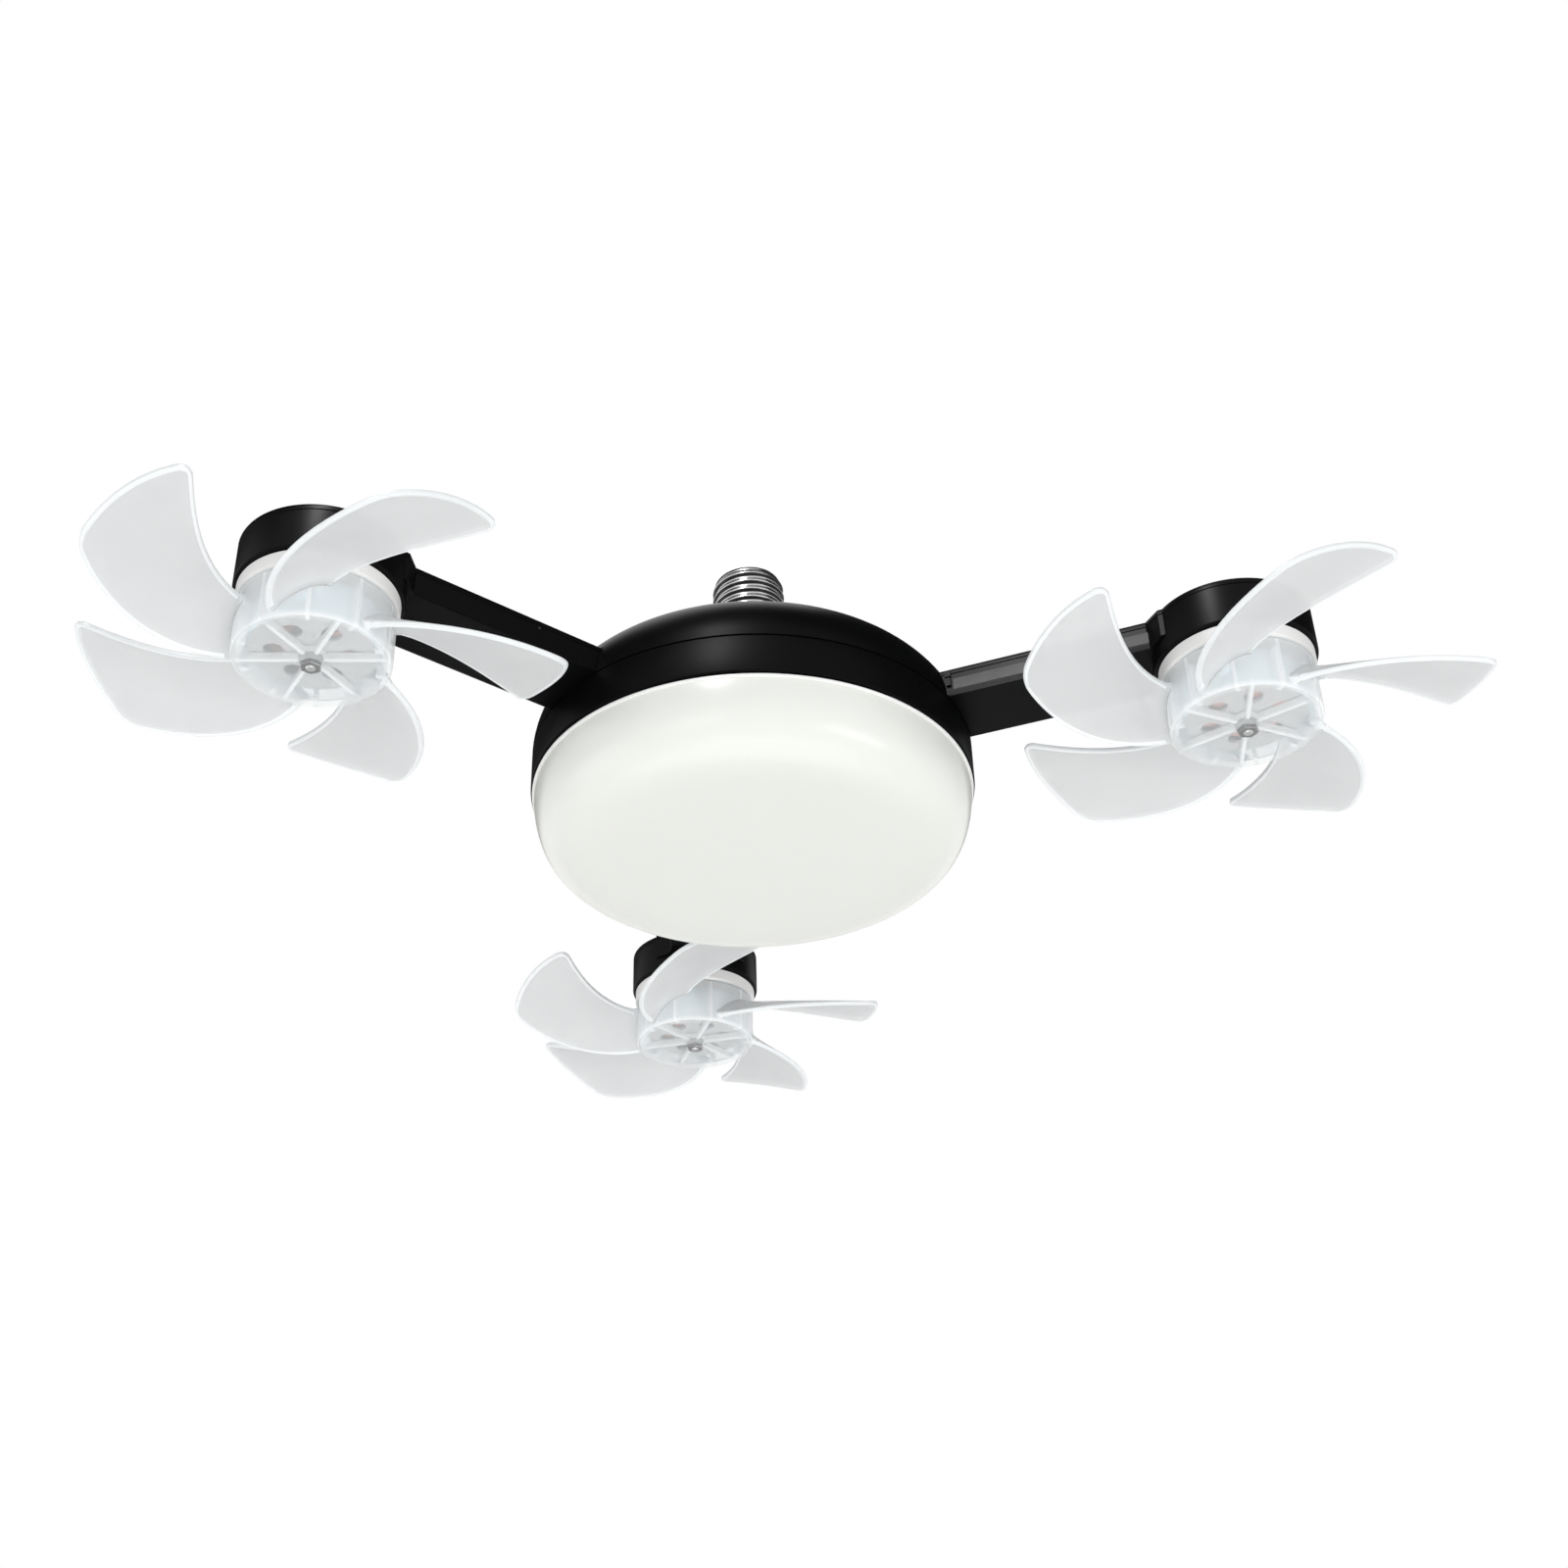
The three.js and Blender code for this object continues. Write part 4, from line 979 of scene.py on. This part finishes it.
catches = [
    block(
        (catch_start, -rail_side + catch_inset, rail_top + catch_levels[0]),
        (catch_end, -arm_half + catch_sink, rail_top + catch_levels[1]),
    ),
    block(
        (low_catch_start, -rail_side + low_catch_inset, rail_top + low_catch_levels[0]),
        (catch_end - catch_inset, -arm_half + catch_sink, rail_top + low_catch_levels[1]),
    ),
    block(
        (side_rib_place, arm_half - catch_sink, rail_top + side_rib_levels[0]),
        (side_rib_place + side_rib_width, arm_half + side_rib_depth, rail_top + side_rib_levels[1]),
    ),
]
pip_outline = [
    (0, 0),
    (pip_radius, 0),
    (pip_radius - pip_edge, pip_length - 2 * pip_edge),
    (0, pip_length),
]
pip_points, pip_faces, pip_number = lathe(pip_outline, pip_steps, number=1)
pip_side = arm_half - pip_sink
pip_points = [(x + pip_place, z + pip_side, y + pip_level) for x, y, z in pip_points]
for side, degrees in arm_angles.items():
    base = part(
        "arm_channel_" + side,
        turned(channel, degrees),
        turned(lathe(cup_outline), degrees, arm_reach),
        *[turned(catch, degrees) for catch in catches],
        turned((pip_points, pip_faces, pip_number), degrees),
        number_shell(turned(swept(rail_lip, rail_lip_start, rail_end), degrees), 1),
        number_shell(turned(swept(rail_face, rail_start, rail_end), degrees), 1),
    )
    dress(base, glossy_black, "black_plastic", "lamp", "arm_base_" + side)
    base.data.materials.append(rail_grey_plastic)
    cover = part("arm_lid_" + side, turned(lid, degrees))
    dress(cover, glossy_black, "black_plastic", "lamp", "arm_cover_" + side)


# Motor heads
# A white collar is screwed under each cup and holds the motor on its bearing tube. The rotor can,
# pale zinc-plated steel, hangs round the windings, and its shaft carries the impeller.
collar_radius = 24.9
collar_top = -91.1
collar_bottom = -96.2
collar_plate = -93.1
collar_skirt = 1.6
collar_round = 0.9
head_edge = 0.3
tube_radius = 5
bearing_hole = 3.3
can_radius = 19.5
can_wall = 1.2
can_top = -98.1
can_bottom = -111
can_round = 1
can_boss_radius = 3.6
can_boss_top = can_bottom + 2.6
can_steps = 96
can_plate_rows = 3  # the can's flat face and the start of its rounding
tube_bottom = can_bottom + 3.4
vent_rim = 3.1
vent_circle = 11.5
vent_count = 6
vent_low = can_bottom - 1
vent_high = can_bottom + 2
small_steps = 32
shaft_radius = 1.5
shaft_fit = 0.3
shaft_end = -117.1
shaft_top = -91.7
nut_corner = 3.4
nut_top = -115.6
nut_bottom = -116.7
rest_turns = {"back": 167, "left": 1.4, "right": 142.2}

collar_white = moulded(
    "collar_white",
    colour=(0.93, 0.92, 0.905),
    cloud=(0.9, 0.89, 0.875),
    cloud_size=14,
    grain_size=0.5,
    roughness=0.35,
    spread=0.1,
    bump=0.006,
)
can_zinc = lined_metal(
    "can_zinc",
    metal=(0.72, 0.93, 1),
    tarnish=(0.56, 0.78, 0.9),
    line_size=0.8,
    roughness=0.3,
    metallic=0.3,
)
can_plate = lined_metal(
    "can_plate",
    metal=(0.78, 0.78, 0.77),
    tarnish=(0.55, 0.55, 0.55),
    line_size=1.2,
    roughness=0.35,
    metallic=0.4,
)
nut_plate = lined_metal(
    "nut_plate",
    metal=(0.46, 0.46, 0.46),
    tarnish=(0.24, 0.24, 0.24),
    line_size=0.5,
    roughness=0.3,
)
shaft_steel = lined_metal(
    "shaft_steel",
    metal=(0.93, 0.93, 0.93),
    tarnish=(0.6, 0.6, 0.61),
    line_size=0.3,
    roughness=0.22,
)
collar_bend = collar_bottom + collar_round
collar_outline = [
    (bearing_hole, collar_top),
    (collar_radius - head_edge, collar_top),
    (collar_radius, collar_top - head_edge),
    *curve(collar_radius - collar_round, collar_bend, collar_round, 0, -90, steps=5),
    (collar_radius - collar_skirt, collar_bottom),
    (collar_radius - collar_skirt, collar_plate),
    (tube_radius, collar_plate),
    (tube_radius, tube_bottom),
    (bearing_hole, tube_bottom),
]
can_outline = [
    (shaft_radius + shaft_fit, can_bottom),
    *curve(can_radius - can_round, can_bottom + can_round, can_round, -90, 0, steps=4),
    (can_radius, can_top),
    (can_radius - can_wall, can_top),
    (can_radius - can_wall, can_bottom + can_wall),
    (can_boss_radius, can_bottom + can_wall),
    (can_boss_radius, can_boss_top),
    (shaft_radius + shaft_fit, can_boss_top),
]
shaft_outline = [
    (0, shaft_end),
    (shaft_radius - head_edge, shaft_end),
    (shaft_radius, shaft_end + head_edge),
    (shaft_radius, shaft_top),
    (0, shaft_top),
]


def placed(shell, side, fan=True):
    """A shell of one head, from the fan's own axis to its place, turned as that fan rests."""
    spun = turned(shell, rest_turns[side]) if fan else shell
    return turned(spun, arm_angles[side], arm_reach)


def hexagon(corner):
    """The six corners of a nut."""
    turns = [math.radians(60 * i) for i in range(6)]
    return [(corner * math.cos(t), corner * math.sin(t)) for t in turns]


can_shell = lathe(can_outline, can_steps)
can_numbers = [1 if i // can_steps < can_plate_rows else 0 for i in range(len(can_shell[1]))]
vent = lathe(
    [(0, vent_low), (vent_rim, vent_low), (vent_rim, vent_high), (0, vent_high)],
    small_steps,
)
nut_shell = tray(
    hexagon(nut_corner),
    [(head_edge, nut_bottom), (0, nut_bottom + head_edge), (0, nut_top)],
)
for side in arm_angles:
    collar = part("collar_moulding_" + side, placed(lathe(collar_outline), side, fan=False))
    dress(collar, collar_white, "white_plastic", "lamp", "motor_collar_" + side)
    can = part("rotor_shell_" + side, placed(number_shell(can_shell, can_numbers), side))
    vent_turns = [(i + 0.5) * 360 / vent_count for i in range(vent_count)]
    carve(can, *[placed(turned(vent, turn, vent_circle), side) for turn in vent_turns])
    dress(can, can_zinc, "rotor_steel", "fan_" + side, "rotor_can_" + side)
    can.data.materials.append(can_plate)
    shaft = part("shaft_rod_" + side, placed(lathe(shaft_outline, small_steps), side))
    dress(shaft, shaft_steel, "steel", "fan_" + side, "motor_shaft_" + side)
    nut = part("hub_hex_" + side, placed(nut_shell, side))
    dress(nut, nut_plate, "cap_nickel", "fan_" + side, "hub_nut_" + side)


# Impellers
# Frosted translucent plastic, moulded in one piece: a cup with ribs on its floor and wall, and five
# swept blades with a thin bead along their edges. The hub is thin enough to show the motor inside.
hub_radius = 24.1
hub_top = -96.7
hub_bottom = -115.3
hub_wall = 1.8
hub_corner = 2.5
hub_lip_round = 0.4
hub_inner_round = 1
hub_floor = hub_bottom + hub_wall
hub_boss = 4.2
rib_height = 2.2
rib_half = 0.6
rib_sink = 0.4
rib_gap = 0.5
wall_rib_drop = 2.5
floor_rib_count = 6
wall_rib_count = 10
rib_turn = 22
blade_count = 5
blade_root = 23.1
lead_reach = 73.3
trail_reach = 76.5
blade_half = 0.7
lead_sweep = 48  # degrees, forward along the leading edge
lead_bend = 14.2
lead_drop = 5.2  # from the hub's top to the leading edge's root
lead_dip = 4.1
lead_rise = 8
trail_lag = 41.5  # degrees from the leading edge's root to the trailing edge's
trail_sweep = 47.9
trail_bend = 3.2
trail_drop = 15.5
trail_dip = 8.7
trail_rise = 11.4
blade_camber = 2.4
tip_bulge = 1.4
tip_corner = 4.2
tip_corner_share = 0.105
tip_band = 2.2  # the grid's rows follow the tip's outline over this width
bead_width = 1.3
bead_half = 0.85
bead_round = 0.4
bead_fade = 0.7
bead_lip_half = 0.3
root_fillet = 1.3


def frosted(name, facing, behind):
    """Clear to milky plastic: how solid a face looks from its front, and from inside the wall."""
    finish = moulded(
        name,
        colour=(0.97, 0.99, 1),
        cloud=(0.94, 0.965, 0.97),
        cloud_size=10,
        grain_size=0.6,
        roughness=0.26,
        spread=0.12,
        bump=0.004,
    )
    nodes, links = finish.node_tree.nodes, finish.node_tree.links
    side = nodes.new("ShaderNodeNewGeometry")
    change = new_math(finish.node_tree, "MULTIPLY", side.outputs["Backfacing"], behind - facing)
    solid = new_math(finish.node_tree, "ADD", change, facing)
    links.new(solid, nodes["Principled BSDF"].inputs["Alpha"])
    return finish


frosted_blade = moulded(
    "frosted_blade",
    colour=(0.84, 0.845, 0.845),
    cloud=(0.74, 0.745, 0.75),
    cloud_size=30,
    grain_size=0.6,
    roughness=0.5,
    spread=0.12,
    bump=0.006,
    Subsurface_Weight=1,
    Subsurface_Radius=(1, 1, 1),
    Subsurface_Scale=0.003,
    Alpha=0.8,
)
frosted_wall = frosted("frosted_wall", facing=0.72, behind=0.12)
frosted_inside = frosted("frosted_inside", facing=0.35, behind=0.08)
frosted_floor = frosted("frosted_floor", facing=0.36, behind=0.1)
frosted_edge = frosted("frosted_edge", facing=0.9, behind=0.5)
impeller_finishes = [frosted_wall, frosted_blade, frosted_edge, frosted_floor, frosted_inside]
on_wall, on_blade, on_edge, on_floor, on_inside = range(len(impeller_finishes))


def blade_reach(across):
    """The tip's distance from the fan's axis, before its corners are rounded."""
    return lead_reach + (trail_reach - lead_reach) * across + tip_bulge * 4 * across * (1 - across)


def blade_end(across):
    """The tip's distance from the fan's axis, with rounded corners."""
    edge = max(1 - min(across, 1 - across) / tip_corner_share, 0)
    return blade_reach(across) - tip_corner * (1 - math.sqrt(1 - edge * edge))


def blade_point(radius, across):
    """A point of the blade's middle surface. Across runs from the leading to the trailing edge."""
    out = (radius - hub_radius) / (blade_reach(across) - hub_radius)
    lead = lead_sweep * out - lead_bend * out * out
    trail = -trail_lag + trail_sweep * out - trail_bend * out * out
    lead_z = -lead_drop - lead_dip * out + lead_rise * out * out
    trail_z = -trail_drop - trail_dip * out + trail_rise * out * out
    turn = math.radians(lead + (trail - lead) * across)
    camber = blade_camber * 4 * across * (1 - across)
    z = hub_top + lead_z + (trail_z - lead_z) * across + camber
    return Vector((radius * math.cos(turn), radius * math.sin(turn), z))


def blade(rows=20, columns=26):
    """One blade with a bead along its free edges, and a fillet at its root. Its grid is close by
    the edges, where the steps give the distances, and crowds a little towards the tip."""
    steps = [0, 0.12, 0.35, 0.75, 1.2, 1.55, 2]
    crowding = 1.3
    points, tops, bottoms, gaps = [], [], [], []
    spans = [(1 - (1 - i / rows) ** crowding, 0) for i in range(rows)]
    spans += [(1, step) for step in reversed(steps)]
    for span, short in spans:
        middle = blade_root + (blade_end(0.5) - tip_band - blade_root) * span
        chord = (blade_point(middle, 1) - blade_point(middle, 0)).length
        edge = [step / chord for step in steps]
        inner = [edge[-1] + (1 - 2 * edge[-1]) * j / columns for j in range(1, columns)]
        tops.append([])
        bottoms.append([])
        gaps.append([])
        for across in edge + inner + [1 - share for share in reversed(edge)]:
            end = blade_end(across)
            if span == 1:
                radius = end - short
            else:
                radius = blade_root + (end - tip_band - blade_root) * span
            here = blade_point(radius, across)
            outward = blade_point(radius + 0.5, across) - blade_point(radius - 0.5, across)
            backward = blade_point(radius, across + 0.01) - blade_point(radius, across - 0.01)
            normal = outward.cross(backward).normalized()
            if normal.z < 0:
                normal = -normal
            gap = min(min(across, 1 - across) * chord, end - radius)
            crown = min(gap / bead_round, 1)
            ebb = min(max((gap - bead_width) / bead_fade, 0), 1)
            half = bead_lip_half + (bead_half - bead_lip_half) * math.sqrt(crown * (2 - crown))
            half -= (bead_half - blade_half) * ebb
            half += root_fillet * math.exp(-max(radius - hub_radius, 0) / root_fillet)
            gaps[-1].append(gap)
            tops[-1].append(len(points))
            points.append(here + normal * half)
            bottoms[-1].append(len(points))
            points.append(here - normal * half)
    faces, numbers = [], []
    last = len(spans) - 1
    side = len(tops[0]) - 1
    for i in range(last):
        for j in range(side):
            middle = (gaps[i][j] + gaps[i + 1][j] + gaps[i][j + 1] + gaps[i + 1][j + 1]) / 4
            for grid in (tops, bottoms):
                faces.append([grid[i][j], grid[i][j + 1], grid[i + 1][j + 1], grid[i + 1][j]])
                numbers.append(on_edge if middle < bead_width and i else on_blade)
    for i in range(last):
        for j in (0, side):
            faces.append([tops[i][j], tops[i + 1][j], bottoms[i + 1][j], bottoms[i][j]])
    for j in range(side):
        for i in (0, last):
            faces.append([tops[i][j], tops[i][j + 1], bottoms[i][j + 1], bottoms[i][j]])
    return points, faces, numbers + [on_edge] * (len(faces) - len(numbers))


hub_inner = hub_radius - hub_wall
hub_lip = hub_top - hub_lip_round
hub_foot = hub_floor + hub_inner_round
corner_rows, lip_rows, foot_rows = 8, 3, 4
hub_outline = [
    (shaft_radius + shaft_fit, hub_bottom),
    *curve(hub_radius - hub_corner, hub_bottom + hub_corner, hub_corner, -90, 0, corner_rows),
    *curve(hub_radius - hub_lip_round, hub_lip, hub_lip_round, 0, 90, lip_rows),
    (hub_inner, hub_top),
    *curve(hub_inner - hub_inner_round, hub_foot, hub_inner_round, 0, -90, foot_rows),
    (hub_boss, hub_floor),
    (hub_boss, hub_floor + rib_height),
    (shaft_radius + shaft_fit, hub_floor + rib_height),
]
hub_steps = 120
rib_step = hub_steps // wall_rib_count
wall_start = 1 + corner_rows // 2
top_row = 2 + corner_rows + lip_rows
foot_row = top_row + 2
floor_row = foot_row + foot_rows
hub_cup = lathe(hub_outline, hub_steps)
hub_numbers = []
for i in range(len(hub_cup[1])):
    row, step = divmod(i, hub_steps)
    if wall_start <= row < top_row:
        hub_numbers.append(on_edge if step % rib_step == 0 else on_wall)
    elif row < wall_start or row == floor_row:
        hub_numbers.append(on_floor)
    else:
        hub_numbers.append(on_inside if row < foot_row else on_edge)
hub_cup = turned(number_shell(hub_cup, hub_numbers), rib_turn - 180 / hub_steps)
fan_blade = blade()
rib_bottom = hub_floor - rib_sink
rib_end = hub_inner + rib_sink
floor_rib = block(
    (hub_boss - rib_gap, -rib_half, rib_bottom),
    (rib_end, rib_half, hub_floor + rib_height),
)
wall_rib = block(
    (can_radius + rib_gap, -rib_half, rib_bottom),
    (rib_end, rib_half, hub_top - wall_rib_drop),
)
fan_shells = [hub_cup]
for rib, count in ((floor_rib, floor_rib_count), (wall_rib, wall_rib_count)):
    for i in range(count):
        fan_shells.append(number_shell(turned(rib, rib_turn + 360 / count * i), on_edge))
fan_shells += [turned(fan_blade, 360 / blade_count * i) for i in range(blade_count)]

for side in arm_angles:
    fan = part("impeller_frosted_" + side, *[placed(shell, side) for shell in fan_shells], angle=50)
    dress(fan, impeller_finishes[0], "frosted_plastic", "fan_" + side, "impeller_" + side)
    for finish in impeller_finishes[1:]:
        fan.data.materials.append(finish)


# Inside the housing and the heads
# The parts that the shells hide: boards, heat plate, screws, bearings, cores, windings and magnets.
# They keep their solids, and each gets the finish of what it is made of.
inner_finishes = {
    "neck_lock_ring": black_plastic,
    "heat_plate": lined_metal(
        "plate_aluminium",
        metal=(0.8, 0.81, 0.82),
        tarnish=(0.6, 0.61, 0.62),
        line_size=0.5,
        roughness=0.35,
    ),
    "led_board": collar_white,
    "shaft_bearing": lined_metal(
        "bearing_brass",
        metal=(0.72, 0.5, 0.24),
        tarnish=(0.5, 0.34, 0.16),
        line_size=0.4,
        roughness=0.3,
    ),
    "stator_core": lined_metal(
        "core_steel",
        metal=(0.5, 0.5, 0.52),
        tarnish=(0.26, 0.26, 0.27),
        line_size=0.5,
        roughness=0.4,
        bump=0.03,
    ),
    "motor_windings": lined_metal(
        "winding_copper",
        metal=(1, 0.5, 0.4),
        tarnish=(1, 0.38, 0.28),
        line_size=0.4,
        roughness=0.35,
        bump=0.05,
        metallic=0.1,
    ),
    "magnet_ring": moulded(
        "magnet_ferrite",
        colour=(0.045, 0.045, 0.048),
        cloud=(0.03, 0.03, 0.032),
        roughness=0.6,
        bump=0.02,
    ),
    "arm_lead": moulded(
        "lead_sleeve",
        colour=(0.7, 0.7, 0.67),
        cloud=(0.6, 0.6, 0.57),
        cloud_size=8,
        roughness=0.4,
        bump=0.01,
    ),
    "driver_board": moulded(
        "board_green",
        colour=(0.012, 0.1, 0.045),
        cloud=(0.02, 0.13, 0.06),
        cloud_size=5,
        roughness=0.3,
        bump=0.02,
    ),
}
inner_finishes["receiver_board"] = inner_finishes["driver_board"]
for name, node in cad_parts.items():
    if node.hide_render:
        continue
    kind = name.rsplit("_", 1)[0] if name.rsplit("_", 1)[-1] in arm_angles else name
    finish = inner_finishes.get(kind, shaft_steel)
    node.data.materials.clear()
    node.data.materials.append(finish)

bpy.context.view_layer.update()
